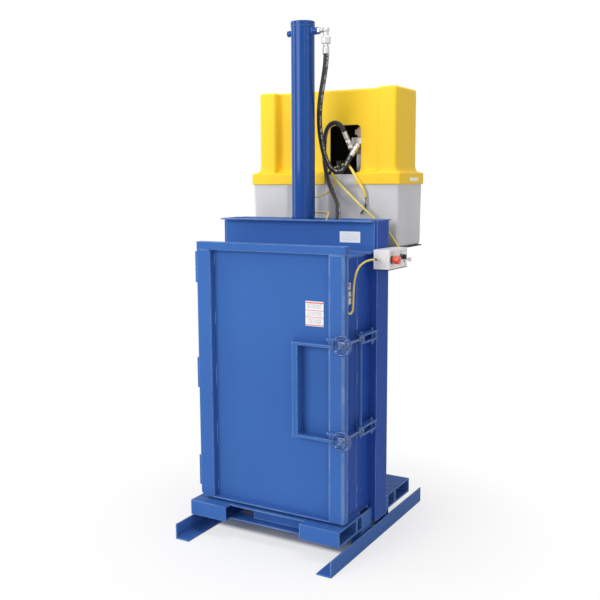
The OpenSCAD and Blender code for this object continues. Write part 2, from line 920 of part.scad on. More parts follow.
module run_selector() {
    color(black) {
        button_barrel(selector_at);
        rod_x(cbox_face + 1, cbox_face + 12, selector_at[0], selector_at[1], 26);
        block([cbox_face + 12, cbox_face + 28], [selector_at[0] - 4, selector_at[0] + 4],
              [selector_at[1] - 12, selector_at[1] + 12]);
    }
}

module key_switch() {
    color(silver) {
        button_barrel(key_at);
        rod_x(cbox_face + 1, cbox_face + 10, key_at[0], key_at[1], 27);
        block([cbox_face + 10, cbox_face + 34], [key_at[0] - 1.5, key_at[0] + 1.5],
              [key_at[1] - 10, key_at[1] + 10]);
    }
}

// ---- Power unit ----

shelf_z = beam_z + 1;
bin_z = shelf_z + shelf_t;
bin_top = bin_z + bin_h;
rim_z = bin_top - rim_h + 3;
hood_shoulder = bin_top;
body_z0 = rim_z + rim_h;
hood_top = body_z0 + hood_h;
bin_x = bin_w / 2;
bin_back = bin_y + bin_d;
rim_x = bin_x + rim_lap;
rim_y = bin_y - rim_lap;
rim_back = bin_back + rim_lap;
hood_y = rim_y + hood_set;
hood_back = hood_y + hood_d;
middle_y = hood_y + recess_d;

module power_unit_shelf() {
    gusset_x = 120;
    gusset_t = 8;
    gusset_h = 150;
    gusset_nose = 30;
    root = shelf_z + shelf_t / 2;
    color(black) {
        block([-bin_x, bin_x], [col_y + beam_flange, bin_back], [shelf_z, bin_z]);
        both_sides() translate([gusset_x, 0, 0]) rotate([90, 0, 90]) linear_extrude(gusset_t)
            polygon([[back_y, root], [bin_back - gusset_nose, root], [back_y, shelf_z - gusset_h]]);
    }
}

// Open box with upright ribs pressed into its walls
module power_unit_bin() {
    rib = 10;
    color(pale_grey) difference() {
        translate([0, 0, bin_z]) linear_extrude(bin_h)
            round_rect([-bin_x, bin_x], [bin_y, bin_back], hood_r);
        translate([0, 0, bin_z + bin_t]) linear_extrude(bin_h)
            round_rect([-bin_x + bin_t + rib, bin_x - bin_t - rib],
                       [bin_y + bin_t + rib, bin_back - bin_t - rib], bin_t / 2);
        for (x = [[-215, -120], [-35, 35], [120, 215]], y = [bin_y - 1, bin_back - rib])
            block(x, [y, y + rib + 1], [bin_z + 20, rim_z - 4]);
    }
}

// Plan of the hood above its rim: two end blocks with the middle set back
module hood_plan(inset) {
    r = hood_r - inset;
    x1 = hood_w / 2 - inset;
    x0 = hood_w / 2 - end_block_w + inset;
    translate([hood_shift, 0]) {
        difference() {
            round_rect([-x1, x1], [hood_y + inset, hood_back - inset], r);
            translate([-x0, hood_y - 1]) square([2 * x0, recess_d + 1 + inset]);
        }
        for (s = [-1, 1])
            translate([s > 0 ? x0 : -x0 - 2 * r, hood_y + inset]) square([2 * r, 2 * r]);
    }
}

module rim_plan(inset) {
    round_rect([-rim_x + inset, rim_x - inset], [rim_y + inset, rim_back - inset],
               max(hood_r - inset, hood_t));
}

skirt_h = 30;

module hood_outside() {
    translate([0, 0, rim_z]) linear_extrude(rim_h) rim_plan(0);
    translate([0, 0, body_z0]) linear_extrude(hood_h) hood_plan(0);
    for (step = [0 : 3])
        translate([0, 0, body_z0 + step * skirt_h / 4]) linear_extrude(skirt_h / 4) intersection() {
            rim_plan(0);
            union() {
                hood_plan(0);
                rim_plan([9, 19, 26, 30][step]);
            }
        }
}

// Opening in the front wall, with rounded upper corners
module notch() {
    top = body_z0 + notch_h;
    corner = 25;
    translate([0, middle_y + 60, 0]) rotate([90, 0, 0]) linear_extrude(130) {
        translate([notch_x0, rim_z - 1]) square([notch_w, top - rim_z + 1 - corner]);
        translate([notch_x0 + corner, rim_z]) square([notch_w - 2 * corner, top - rim_z]);
        for (x = [notch_x0 + corner, notch_x0 + notch_w - corner])
            translate([x, top - corner]) circle(r = corner);
    }
}

module power_unit_hood() {
    color(yellow) difference() {
        hood_outside();
        translate([0, 0, rim_z - 1]) linear_extrude(hood_shoulder - rim_z + 1) rim_plan(hood_t);
        translate([0, 0, rim_z]) linear_extrude(hood_top - hood_t - rim_z) hood_plan(hood_t);
        notch();
    }
}

tank_z = bin_z + bin_t;
tank_h = 250;
tank_w = 600;
tank_top = tank_z + tank_h;
tank_x = [-tank_w / 2, tank_w / 2];
tank_y = [bin_y + 64, bin_back - 48];
tank_wall = 3;

module oil_reservoir() {
    color(black) difference() {
        block(tank_x, tank_y, [tank_z, tank_top]);
        block([tank_x[0] + tank_wall, tank_x[1] - tank_wall],
              [tank_y[0] + tank_wall, tank_y[1] - tank_wall],
              [tank_z + tank_wall, tank_top - tank_wall]);
    }
}

motor_d = 150;
motor_x = [-250, 20];
motor_y = bin_y + 179;
motor_foot_h = 20;
motor_foot_w = 40;
motor_foot_y = 50;
motor_z = tank_top + motor_foot_h + motor_d / 2;
junction_x = [35, 115];
junction_y = [middle_y + 25.5, motor_y - 46];
junction_z = [tank_top, tank_top + 175];

// Motor lying on the tank, with its feet and its junction box
module electric_motor() {
    color(black) {
        rod_x(motor_x[0], motor_x[1], motor_y, motor_z, motor_d);
        for (x = [motor_x[0] + 50, motor_x[1] - 80])
            block([x, x + motor_foot_w], [motor_y - motor_foot_y, motor_y + motor_foot_y],
                  [tank_top, tank_top + motor_foot_h + 8]);
        block(junction_x, junction_y, junction_z);
    }
}

valve_x = [128, 215];
valve_y = [middle_y + 12, motor_y - 20];
valve_z = [tank_top + 211, tank_top + 289];
pump_d = 90;
pump_drop = 45;
adapter_d = 24;
adapter_ball_d = 31;
hose_end_d = [28, 26];

// Roof height that the routes and the hose ends are given for
route_roof_z = 1392;
lift = [0, 0, roof_z - route_roof_z];
adapter_a = [175, 240, 1906] + lift;
adapter_b = [143, 230, 1901] + lift;
hose_end_a = [157, 206, 1856] + lift;
hose_end_b = [122, 200, 1976] + lift;

// Pump and valve block on the tank, with the two hose ends before it
module pump_valve_block() {
    color(silver) {
        block(valve_x, valve_y, valve_z);
        block([valve_x[0] + 20, valve_x[1] - 10], [valve_y[0] + 20, valve_y[1]], [tank_top, valve_z[0]]);
        rod_x(motor_x[1], valve_x[0], motor_y, motor_z, pump_d);
        block([valve_x[0] - 20, valve_x[1]], [valve_y[1], motor_y + pump_drop],
              [tank_top, motor_z + pump_drop]);
        for (a = [adapter_a, adapter_b]) {
            rod_y(a[1], valve_y[0], a[0], a[2], adapter_d);
            translate(a) sphere(d = adapter_ball_d);
        }
        rod_between(hose_end_a, adapter_a, hose_end_d[0]);
        rod_between(hose_end_b, adapter_b, hose_end_d[1]);
    }
}

// ---- Glands ----

box_gland = [cbox_x + 24, -cbox_front_y, cbox_z + 48];
rear_gland = [cbox_x + 35, cbox_back, cbox_z + 40];
sensor_at = [102, 45];
sensor_h = 34;
sensor_d = 18;
gland_d = 20;
gland_h = 26;
junction_glands = [[48, junction_z[1] - 36], [72, junction_z[1] - 52], [94, junction_z[1] - 30]];
junction_gland_h = 20;

// Glands on the control box and junction box, and the ram's top sensor
module cable_glands() {
    color(silver) {
        rod_y(box_gland[1] - gland_h, box_gland[1], box_gland[0], box_gland[2], gland_d);
        rod_y(rear_gland[1], rear_gland[1] + gland_h, rear_gland[0], rear_gland[2], gland_d);
        rod_z(mount_z + mount_t, mount_z + mount_t + sensor_h, sensor_at[0], sensor_at[1], sensor_d);
        for (g = junction_glands)
            rod_y(junction_y[0] - junction_gland_h, junction_y[0], g[0], g[1], gland_d);
    }
}

// ---- Hoses and cables ----

// Route points, chosen by hand
upper_hose_route = [
    [126, 0, 2327], [126, 0, 2303], [120, 2, 2260], [106, 8, 2200], [86, 20, 2130],
    [69, 38, 2060], [58, 62, 1985], [54, 92, 1912], [57, 120, 1848], [70, 143, 1802],
    [92, 158, 1778], [118, 168, 1776], [138, 178, 1800], [148, 189, 1831], [157, 206, 1856]
];
lower_hose_route = [
    [122, 200, 1976], [115, 190, 2001], [101, 184, 2017], [79, 180, 2024], [55, 178, 2014],
    [37, 177, 1992], [26, 178, 1960], [20, 180, 1910], [19, 182, 1848], [28, 180, 1788],
    [52, 168, 1724], [86, 144, 1678], [120, 108, 1649], [150, 69, 1630], [173, 34, 1612],
    [185, 11, 1591], [189, 2, 1572], [190, 0, 1556], [190, 0, 1540]
];
control_cable_route = [
    [48, 262, 1800], [48, 244, 1800], [47, 224, 1796], [52, 200, 1786], [76, 170, 1757],
    [112, 164, 1721], [180, 158, 1660], [260, 152, 1592], [330, 158, 1531], [383, 165, 1484],
    [420, 167, 1432], [445, 164, 1400], [461, 153, 1380], [468, 138, 1370], [468, 121, 1370]
];
interlock_cable_route = [
    [395, -305, 1174], [395, -305, 1160], [397, -301, 1149], [400, -292, 1143], [402, -281, 1144],
    [404, -272, 1154], [405, -268, 1180], [406, -267, 1230], [408, -262, 1285], [411, -248, 1325],
    [418, -222, 1355], [432, -192, 1372], [448, -170, 1378], [457, -158, 1378], [457, -139, 1378]
];
sensor_cable_route = [
    [72, 262, 1784], [72, 244, 1784], [73, 214, 1784], [76, 194, 1777], [78, 184, 1752], [77, 180, 1716],
    [58, 168, 1682], [20, 140, 1658], [-40, 110, 1642], [-78, 102, 1618], [-66, 100, 1588],
    [0, 101, 1577], [62, 100, 1577], [98, 76, 1574], [102, 45, 1540], [102, 45, 1499]
];
supply_cable_route = [
    [94, 262, 1806], [94, 244, 1806], [100, 224, 1812], [120, 212, 1814], [148, 202, 1806],
    [172, 186, 1786], [190, 178, 1764], [208, 176, 1738], [230, 176, 1706], [245, 179, 1676],
    [250, 182, 1650]
];
supply_lead_route = [
    [250, 182, 1650], [251, 183, 1628], [247, 184, 1604], [236, 184, 1584], [222, 184, 1570]
];

function unit(v) = v / norm(v);
function direction(p, i) =
    unit(i == 0 ? p[1] - p[0] : i == len(p) - 1 ? p[i] - p[i - 1]
         : unit(p[i + 1] - p[i]) + unit(p[i] - p[i - 1]));
// A side vector carried along the route without twist
function side(p, i, start) =
    let (d = direction(p, i), prev = i == 0 ? start : side(p, i - 1, start))
    unit(prev - (prev * d) * d);

module cord(p, d, sides, start) {
    ends = len(p) - 1;
    rings = [for (i = [0 : ends])
        let (t = direction(p, i), u = side(p, i, start), v = cross(t, u))
        for (k = [0 : sides - 1])
            p[i] + d / 2 * (cos(360 * k / sides) * u + sin(360 * k / sides) * v)];
    walls = [for (i = [0 : ends - 1], k = [0 : sides - 1])
        [i * sides + k, i * sides + (k + 1) % sides,
         (i + 1) * sides + (k + 1) % sides, (i + 1) * sides + k]];
    first = [[for (k = [sides - 1 : -1 : 0]) k]];
    last = [[for (k = [0 : sides - 1]) ends * sides + k]];
    outward = concat(walls, first, last);
    polyhedron(points = rings,
               faces = [for (f = outward) [for (j = [len(f) - 1 : -1 : 0]) f[j]]]);
}

module upper_hose() {
    color(rubber_black) translate(lift) cord(upper_hose_route, upper_hose_d, 10, [0, 1, 0]);
}

module lower_hose() {
    color(rubber_black) translate(lift) cord(lower_hose_route, lower_hose_d, 10, [0, 1, 0]);
}

module control_cable() {
    color(cable_yellow) translate(lift) cord(control_cable_route, control_cable_d, 8, [0, 0, 1]);
}

module interlock_cable() {
    color(cable_yellow) translate(lift) cord(interlock_cable_route, interlock_cable_d, 8, [1, 0, 0]);
}

module sensor_cable() {
    color(cable_yellow) translate(lift) cord(sensor_cable_route, sensor_cable_d, 8, [0, 0, 1]);
}

module supply_cable() {
    color(cable_yellow) translate(lift) cord(supply_cable_route, supply_cable_d, 8, [0, 0, 1]);
    color(black) translate(lift) cord(supply_lead_route, supply_cable_d / 2, 8, [0, 1, 0]);
}

left_floor_angle();
right_floor_angle();
base_legs();
front_cross_channel();
rear_cross_channel();
front_fork_pockets();
rear_fork_pockets();
front_sill();
chamber_floor();
side_plates();
back_shell();
front_posts();
left_column();
right_column();
roof_plate();
front_top_channel();
rear_top_channel();
cylinder_mount_plate();
mount_bolts();
cylinder_barrel();
cylinder_end_cap();
cylinder_gland();
piston();
piston_rod();
platen();
port_elbows();
door_panel();
door_left_member();
door_right_member();
door_top_band();
door_bottom_ledge();
door_latch_bars();
hinge_frame_knuckles();
hinge_door_knuckles();
hinge_pins();
latch_brackets();
latch_hinge_rod();
upper_swing_bolt();
lower_swing_bolt();
upper_handwheel();
lower_handwheel();
interlock_switch();
control_box();
control_box_bracket();
stop_button();
run_selector();
key_switch();
cable_glands();
power_unit_shelf();
power_unit_bin();
power_unit_hood();
oil_reservoir();
electric_motor();
pump_valve_block();
upper_hose();
lower_hose();
control_cable();
interlock_cable();
sensor_cable();
supply_cable();
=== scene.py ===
import json
import math
import random

import bmesh
import bpy
from mathutils import Matrix, Vector


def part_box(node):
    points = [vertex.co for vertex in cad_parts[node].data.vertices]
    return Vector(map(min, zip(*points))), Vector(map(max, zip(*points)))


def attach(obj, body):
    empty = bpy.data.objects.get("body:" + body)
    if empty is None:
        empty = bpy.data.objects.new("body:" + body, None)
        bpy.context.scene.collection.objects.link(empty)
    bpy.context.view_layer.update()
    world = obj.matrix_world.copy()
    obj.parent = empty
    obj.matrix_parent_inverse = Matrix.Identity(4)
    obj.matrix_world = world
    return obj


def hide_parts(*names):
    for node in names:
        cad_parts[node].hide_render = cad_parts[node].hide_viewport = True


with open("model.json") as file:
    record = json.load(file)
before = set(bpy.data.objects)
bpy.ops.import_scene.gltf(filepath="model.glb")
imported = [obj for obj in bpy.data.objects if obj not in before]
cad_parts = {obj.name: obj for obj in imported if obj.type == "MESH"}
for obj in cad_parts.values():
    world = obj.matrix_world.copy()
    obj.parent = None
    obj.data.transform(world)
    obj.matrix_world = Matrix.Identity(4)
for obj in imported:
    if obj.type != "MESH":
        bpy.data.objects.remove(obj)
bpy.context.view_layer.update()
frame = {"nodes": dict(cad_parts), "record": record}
random.seed(11)

# the door looks to the front, and the control box is on the right
toRight, toRear, toTop = (1, 0, 0), (0, 1, 0), (0, 0, 1)
toLeft, toFront, toFloor = (-1, 0, 0), (0, -1, 0), (0, 0, -1)

cameraSet = {
    "place": (2.0535, -3.6133, 1.7227), "turn": 29.88, "tilt": -7.92, "roll": -0.28,
    "lens": 50.41, "sensor": 36, "reach": 60,
}


def linkNew(name, data):
    obj = bpy.data.objects.new(name, data)
    bpy.context.scene.collection.objects.link(obj)
    return obj


def addCamera():
    data = bpy.data.cameras.new("shopCamera")
    data.lens = cameraSet["lens"]
    data.sensor_width = cameraSet["sensor"]
    data.clip_end = cameraSet["reach"]
    camera = linkNew("shopCamera", data)
    camera.matrix_world = (
        Matrix.Translation(cameraSet["place"])
        @ Matrix.Rotation(math.radians(cameraSet["turn"]), 4, "Z")
        @ Matrix.Rotation(math.radians(90 + cameraSet["tilt"]), 4, "X")
        @ Matrix.Rotation(math.radians(cameraSet["roll"]), 4, "Z")
    )
    bpy.context.scene.camera = camera


addCamera()
print("camera placed")

# Materials: each one is a small node tree in the object's own coordinates


def newMaterial(name):
    material = bpy.data.materials.new(name)
    material.use_nodes = True
    tree = material.node_tree
    return material, tree, tree.nodes["Principled BSDF"]


def addNode(tree, kind, settings=None, **sockets):
    node = tree.nodes.new(kind)
    for key, value in (settings or {}).items():
        setattr(node, key, value)
    for key, value in sockets.items():
        node.inputs[key.replace("_", " ")].default_value = value
    return node


def objectPoint(tree):
    return addNode(tree, "ShaderNodeTexCoord").outputs["Object"]


def noiseOf(tree, point, scale, detail=3.0, stretch=None):
    if stretch:
        mapping = addNode(tree, "ShaderNodeMapping")
        mapping.inputs["Scale"].default_value = stretch
        tree.links.new(point, mapping.inputs["Vector"])
        point = mapping.outputs["Vector"]
    noise = addNode(tree, "ShaderNodeTexNoise", Scale=scale, Detail=detail)
    tree.links.new(point, noise.inputs["Vector"])
    return noise.outputs["Fac"]


def rampOf(tree, value, low, high):  # low and high are each a place on the ramp and its colour
    ramp = addNode(tree, "ShaderNodeValToRGB")
    for element, (at, colour) in zip(ramp.color_ramp.elements, (low, high)):
        element.position = at
        element.color = (*colour, 1)
    tree.links.new(value, ramp.inputs["Fac"])
    return ramp.outputs["Color"]


def mixOf(tree, factor, under, colour):
    mix = addNode(tree, "ShaderNodeMix", {"data_type": "RGBA"})
    tree.links.new(factor, mix.inputs[0])
    tree.links.new(under, mix.inputs[6])
    mix.inputs[7].default_value = (*colour, 1)
    return mix.outputs[2]


def rangeOf(tree, value, low, high, toLow=0.0, toHigh=1.0):
    node = addNode(tree, "ShaderNodeMapRange")
    for key, number in zip(("From Min", "From Max", "To Min", "To Max"), (low, high, toLow, toHigh)):
        node.inputs[key].default_value = number
    tree.links.new(value, node.inputs["Value"])
    return node.outputs["Result"]


def mathOf(tree, operation, *values, kind="ShaderNodeMath", out=0):
    node = addNode(tree, kind, {"operation": operation})
    for socket, value in zip(node.inputs, values):
        if isinstance(value, bpy.types.NodeSocket):
            tree.links.new(value, socket)
        else:
            socket.default_value = value
    return node.outputs[out]


# how far the rounded normal agrees with the real one, on a flat face and on an edge
edgeSet = {"samples": 4, "flat": 0.997, "round": 0.90}
vectorMath = "ShaderNodeVectorMath"


def edgeMask(tree, radius):
    bevel = addNode(tree, "ShaderNodeBevel", {"samples": edgeSet["samples"]}, Radius=radius)
    rounded = bevel.outputs["Normal"]
    flat = addNode(tree, "ShaderNodeNewGeometry").outputs["Normal"]
    turned = mathOf(tree, "DOT_PRODUCT", rounded, flat, kind=vectorMath, out="Value")
    return rounded, rangeOf(tree, turned, edgeSet["flat"], edgeSet["round"])


def bumpOf(tree, height, strength, distance, normal=None):
    bump = addNode(tree, "ShaderNodeBump", Strength=strength, Distance=distance)
    tree.links.new(height, bump.inputs["Height"])
    if normal:
        tree.links.new(normal, bump.inputs["Normal"])
    return bump.outputs["Normal"]


def shade(tree, shader, colour=None, normal=None, roughness=None, **constants):
    for key, value in (("Base Color", colour), ("Normal", normal), ("Roughness", roughness)):
        if value:
            tree.links.new(value, shader.inputs[key])
    for key, value in constants.items():
        shader.inputs[key.replace("_", " ")].default_value = value


def cloudedColour(tree, point, colour, shift, scale, detail=3.0):
    low = [c * (1 - shift) for c in colour]
    high = [min(1, c * (1 + shift)) for c in colour]
    return rampOf(tree, noiseOf(tree, point, scale, detail), (0.3, low), (0.7, high))


paintSet = {
    "shiftScale": 1.7, "shift": 0.05, "peelScale": 260, "peel": 0.05, "peelDepth": 0.0004, "dullScale": 6,
    "dull": 0.03,
    "edgeRadius": 0.005, "wearScale": 9, "wear": (0.3, 0.62, 0.35, 1.0),  # painted highlight: pale edges, broken here and there
}


def paintMaterial(name, colour, edgeColour, roughness, gloss, edge=0.8, reach=1.0):
    material, tree, shader = newMaterial(name)
    point = objectPoint(tree)
    body = cloudedColour(tree, point, colour, paintSet["shift"], paintSet["shiftScale"])
    rounded, mask = edgeMask(tree, paintSet["edgeRadius"] * reach)
    broken = rangeOf(tree, noiseOf(tree, point, paintSet["wearScale"]), *paintSet["wear"])
    # the edge colour is a painted highlight on rounded edges, broken up by noise
    edgeHighlight = mathOf(tree, "MULTIPLY", mathOf(tree, "MULTIPLY", mask, broken), edge)
    body = mixOf(tree, edgeHighlight, body, edgeColour)
    fine = noiseOf(tree, point, paintSet["peelScale"], 2)
    peel = bumpOf(tree, fine, paintSet["peel"], paintSet["peelDepth"], rounded)
    spread = paintSet["dull"]
    cloud = noiseOf(tree, point, paintSet["dullScale"], 5)
    dull = rangeOf(tree, cloud, 0.3, 0.7, roughness - spread, roughness + spread)
    shade(tree, shader, body, peel, dull, Specular_IOR_Level=gloss)
    return material


metalSet = {
    "dark": 0.82, "grain": 0.08, "grainDepth": 0.0003, "dull": 0.1,
    "edgeRadius": 0.0015, "edge": 0.3, "edgeColour": (0.92, 0.93, 0.95),
}


def metalMaterial(name, colour, roughness, grain=180, stretch=(1, 1, 0.08)):
    material, tree, shader = newMaterial(name)
    brushed = noiseOf(tree, objectPoint(tree), grain, 4, stretch)
    dark = [c * metalSet["dark"] for c in colour]
    body = rampOf(tree, brushed, (0.35, dark), (0.65, colour))
    # painted highlight: rounded edges are lightened towards near white
    rounded, mask = edgeMask(tree, metalSet["edgeRadius"])
    body = mixOf(tree, rangeOf(tree, mask, 0, 1, 0, metalSet["edge"]), body, metalSet["edgeColour"])
    normal = bumpOf(tree, brushed, metalSet["grain"], metalSet["grainDepth"], rounded)
    dull = rangeOf(tree, brushed, 0.3, 0.7, roughness, roughness + metalSet["dull"])
    shade(tree, shader, body, normal, dull, Metallic=1.0)
    return material


mouldedSet = {
    "shiftScale": 3.1, "grain": 0.12, "grainDepth": 0.0003, "dull": (-0.04, 0.05), "lightDepth": 0.02,
}


def mouldedMaterial(name, colour, roughness, shift=0.05, grain=900, coat=0.0, subsurface=0.0, gloss=0.4):
    material, tree, shader = newMaterial(name)
    point = objectPoint(tree)
    body = cloudedColour(tree, point, colour, shift, mouldedSet["shiftScale"], 4)
    fine = noiseOf(tree, point, grain, 2)
    normal = bumpOf(tree, fine, mouldedSet["grain"], mouldedSet["grainDepth"])
    dull = rangeOf(tree, fine, 0.3, 0.7, *[roughness + d for d in mouldedSet["dull"]])
    shade(tree, shader, body, normal, dull, Coat_Weight=coat, Subsurface_Weight=subsurface,
          Subsurface_Scale=mouldedSet["lightDepth"], Specular_IOR_Level=gloss)
    return material


binLook = {
    "dark": (0.58, 0.575, 0.59), "pale": (0.68, 0.67, 0.68), "dust": (0.45, 0.45, 0.48), "dustHeight": 0.12,
    "dustShare": 0.35, "grain": 0.1, "grainDepth": 0.0003, "dull": (0.36, 0.46), "subsurface": 0.12,
    "lightDepth": 0.02,
}


def binMaterial():
    material, tree, shader = newMaterial("binPolyethylene")
    point = objectPoint(tree)
    cloud = noiseOf(tree, point, 4.0, 5, (1, 1, 0.4))
    body = rampOf(tree, cloud, (0.32, binLook["dark"]), (0.7, binLook["pale"]))
    # darker towards the bottom of the bin, fading out over its lowest 12 cm
    split = addNode(tree, "ShaderNodeSeparateXYZ")
    tree.links.new(point, split.inputs[0])
    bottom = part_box("power_unit_bin")[0][2]
    top = bottom + binLook["dustHeight"]
    bottomToned = rangeOf(tree, split.outputs["Z"], bottom, top, binLook["dustShare"], 0.0)
    body = mixOf(tree, bottomToned, body, binLook["dust"])
    fine = noiseOf(tree, point, 700, 2)
    normal = bumpOf(tree, fine, binLook["grain"], binLook["grainDepth"])
    shade(tree, shader, body, normal, rangeOf(tree, fine, 0.3, 0.7, *binLook["dull"]),
          Subsurface_Weight=binLook["subsurface"], Subsurface_Scale=binLook["lightDepth"])
    return material


hoseLook = {
    "dark": (0.012, 0.013, 0.015), "pale": (0.035, 0.037, 0.042), "windings": 120.0, "wrap": 0.35,
    "wrapDepth": 0.0005,
    "print": (0.42, 0.44, 0.42), "printFrom": (0.44, 0.46), "printTo": (0.56, 0.54),
    "printBreak": (0.47, 0.56),
}


def hoseMaterial():
    material, tree, shader = newMaterial("hoseRubber")
    around = addNode(tree, "ShaderNodeAttribute", {"attribute_name": "around"}).outputs["Fac"]
    along = addNode(tree, "ShaderNodeAttribute", {"attribute_name": "along"}).outputs["Fac"]
    wrap = addNode(tree, "ShaderNodeTexWave", {"wave_type": "BANDS", "bands_direction": "X"}, Scale=1.0)
    place = addNode(tree, "ShaderNodeCombineXYZ")
    tree.links.new(mathOf(tree, "MULTIPLY_ADD", along, hoseLook["windings"], around), place.inputs["X"])
    tree.links.new(place.outputs[0], wrap.inputs["Vector"])
    normal = bumpOf(tree, wrap.outputs["Fac"], hoseLook["wrap"], hoseLook["wrapDepth"])
    point = objectPoint(tree)
    body = rampOf(tree, noiseOf(tree, point, 46, 5), (0.3, hoseLook["dark"]), (0.7, hoseLook["pale"]))
    # a broken pale print line along one side
    low, high = (rangeOf(tree, around, *hoseLook[side]) for side in ("printFrom", "printTo"))
    dash = rangeOf(tree, noiseOf(tree, point, 95, 3), *hoseLook["printBreak"])
    printed = mathOf(tree, "MULTIPLY", mathOf(tree, "MULTIPLY", low, high), dash)
    body = mixOf(tree, printed, body, hoseLook["print"])
    shade(tree, shader, body, normal, Roughness=0.45, Specular_IOR_Level=0.3)
    return material


cableLook = {
    "dirt": 0.78, "dirtScale": 18, "grainScale": 300, "grain": 0.08, "grainDepth": 0.0003, "roughness": 0.36,
}


def cableMaterial(name, colour):
    material, tree, shader = newMaterial(name)
    point = objectPoint(tree)
    dirty = [c * cableLook["dirt"] for c in colour]
    body = rampOf(tree, noiseOf(tree, point, cableLook["dirtScale"], 5), (0.25, dirty), (0.6, colour))
    fine = noiseOf(tree, point, cableLook["grainScale"], 2)
    normal = bumpOf(tree, fine, cableLook["grain"], cableLook["grainDepth"])
    shade(tree, shader, body, normal, Roughness=cableLook["roughness"])
    return material


# the second colour given to each paint is a painted highlight for its rounded edges
blue = (0.050, 0.145, 0.430)
highlightBlue = (0.34, 0.50, 0.82)
latchBlue, latchHighlight = (0.015, 0.068, 0.275), (0.60, 0.75, 0.96)
finish = {
    "machine_blue": paintMaterial("machineEnamel", blue, highlightBlue, 0.28, 0.03, 0.85, 1.3),
    "cylinder_blue": paintMaterial("cylinderEnamel", (0.006, 0.064, 0.285), highlightBlue, 0.08, 0.20),
    "rod_chrome": metalMaterial("rodChrome", (0.78, 0.79, 0.81), 0.08, 90, (1, 1, 0.02)),
    "bright_steel": metalMaterial("zincSteel", (0.60, 0.60, 0.61), 0.34),
    "latch_enamel": paintMaterial("latchEnamel", latchBlue, latchHighlight, 0.10, 0.6, 1.0, 0.55),
    "gland_metal": metalMaterial("glandNickel", (0.70, 0.68, 0.60), 0.22),
    "switch_grey": mouldedMaterial("switchPlastic", (0.60, 0.61, 0.63), 0.34),
    "box_grey": mouldedMaterial("boxEnamel", (0.90, 0.87, 0.85), 0.34, 0.04, 500, 0.1),
    "black_paint": paintMaterial("blackEnamel", (0.010, 0.010, 0.012), (0.08, 0.08, 0.09), 0.4, 0.25, 0.5),
    "stop_red": mouldedMaterial("stopPlastic", (0.72, 0.075, 0.030), 0.22, 0.04, 400, 0.6),
    "knob_black": mouldedMaterial("knobPlastic", (0.018, 0.018, 0.019), 0.28, 0.1, 400, 0.4),
    "key_chrome": metalMaterial("keyChrome", (0.75, 0.76, 0.78), 0.14, 120),
    "bin_grey": binMaterial(),
    "hood_yellow": mouldedMaterial("hoodPolyethylene", (1.0, 0.645, 0.032), 0.45, 0.02, 800, 0.0, 0.05, 0.15),
    "valve_metal": metalMaterial("valveAluminium", (0.42, 0.40, 0.37), 0.36, 140),
    "hose_rubber": hoseMaterial(),
    "cable_yellow": cableMaterial("cableJacket", (0.90, 0.70, 0.13)),
}
extra = {
    # a darker, more violet copy of the machine blue: painted shade for the frame's sides, posts and columns
    "frameBlue": paintMaterial("frameEnamel", (0.029, 0.088, 0.39), highlightBlue, 0.28, 0.02, 0.85, 1.3),
    # a wider, paler painted highlight along the edges of the door's right member
    "foldBlue": paintMaterial("foldEnamel", blue, (0.36, 0.52, 0.84), 0.28, 0.03, 0.85, 2.4),
    "brass": metalMaterial("brassFitting", (0.62, 0.47, 0.20), 0.26),
    # weld beads: a lighter blue and a pale edge colour, both painted highlight on the ripples
    "weld": paintMaterial("weldEnamel", (0.07, 0.20, 0.52), (0.40, 0.56, 0.82), 0.2, 0.6, 0.7),
    "label": mouldedMaterial("labelWhite", (0.93, 0.93, 0.93), 0.3, 0.02, 300, 0.2),
    "band": mouldedMaterial("labelRed", (0.78, 0.13, 0.06), 0.3, 0.03, 300, 0.4),
    "mark": mouldedMaterial("labelGrey", (0.38, 0.38, 0.40), 0.4, 0.02, 300),
    "wireBlack": cableMaterial("wireBlack", (0.02, 0.02, 0.022)),
    "wireWhite": cableMaterial("wireWhite", (0.75, 0.75, 0.72)),
    "wireBrown": cableMaterial("wireBrown", (0.16, 0.035, 0.03)),
    # near-black painted shade for the inner skin of the hood
    "lining": mouldedMaterial("hoodLining", (0.016, 0.015, 0.014), 0.7, 0.2, 500),
    "coil": mouldedMaterial("coilPlastic", (0.62, 0.42, 0.32), 0.4),
}
# nodes whose paint differs from the one of their slot; the frame's sides, posts and columns take a darker,
# more violet copy of the blue as painted shade
ownFinish = {
    "side_plates": "frameBlue", "front_posts": "frameBlue",
    "right_column": "frameBlue", "left_column": "frameBlue", "door_right_member": "foldBlue",
}
slotOf = {subpart["node"]: subpart["material_slot"] for subpart in frame["record"]["subparts"]}
for name, node in frame["nodes"].items():
    node.data.materials.clear()
    node.data.materials.append(extra[ownFinish[name]] if name in ownFinish else finish[slotOf[name]])
print("finishes mixed")

# Small mesh makers


def roundAngles(count):
    return [2 * math.pi * k / count for k in range(count)]


def quarterAngles(steps):
    return [math.pi / 2 * k / steps for k in range(steps + 1)]


def bridgeRings(bm, near, far):
    for k in range(len(near)):
        m = (k + 1) % len(near)
        bm.faces.new((near[k], near[m], far[m], far[k]))


# each point of a profile is a distance along the axis and a radius
def addLathe(bm, base, axis, profile, sides, closed=False, turn=0.0):
    axis = Vector(axis).normalized()
    side = Vector(toTop) if abs(axis.z) < 0.9 else Vector(toRight)
    side = (side - axis * side.dot(axis)).normalized()
    other = axis.cross(side)
    angles = [angle + turn for angle in roundAngles(sides)]
    rings = []
    for distance, radius in profile:
        centre = Vector(base) + axis * distance
        spots = [centre + (side * math.cos(angle) + other * math.sin(angle)) * radius for angle in angles]
        rings.append([bm.verts.new(spot) for spot in spots])
    for near, far in zip(rings, rings[1:] + rings[:1] if closed else rings[1:]):
        bridgeRings(bm, near, far)
    if not closed:
        bm.faces.new(list(reversed(rings[0])))
        bm.faces.new(rings[-1])


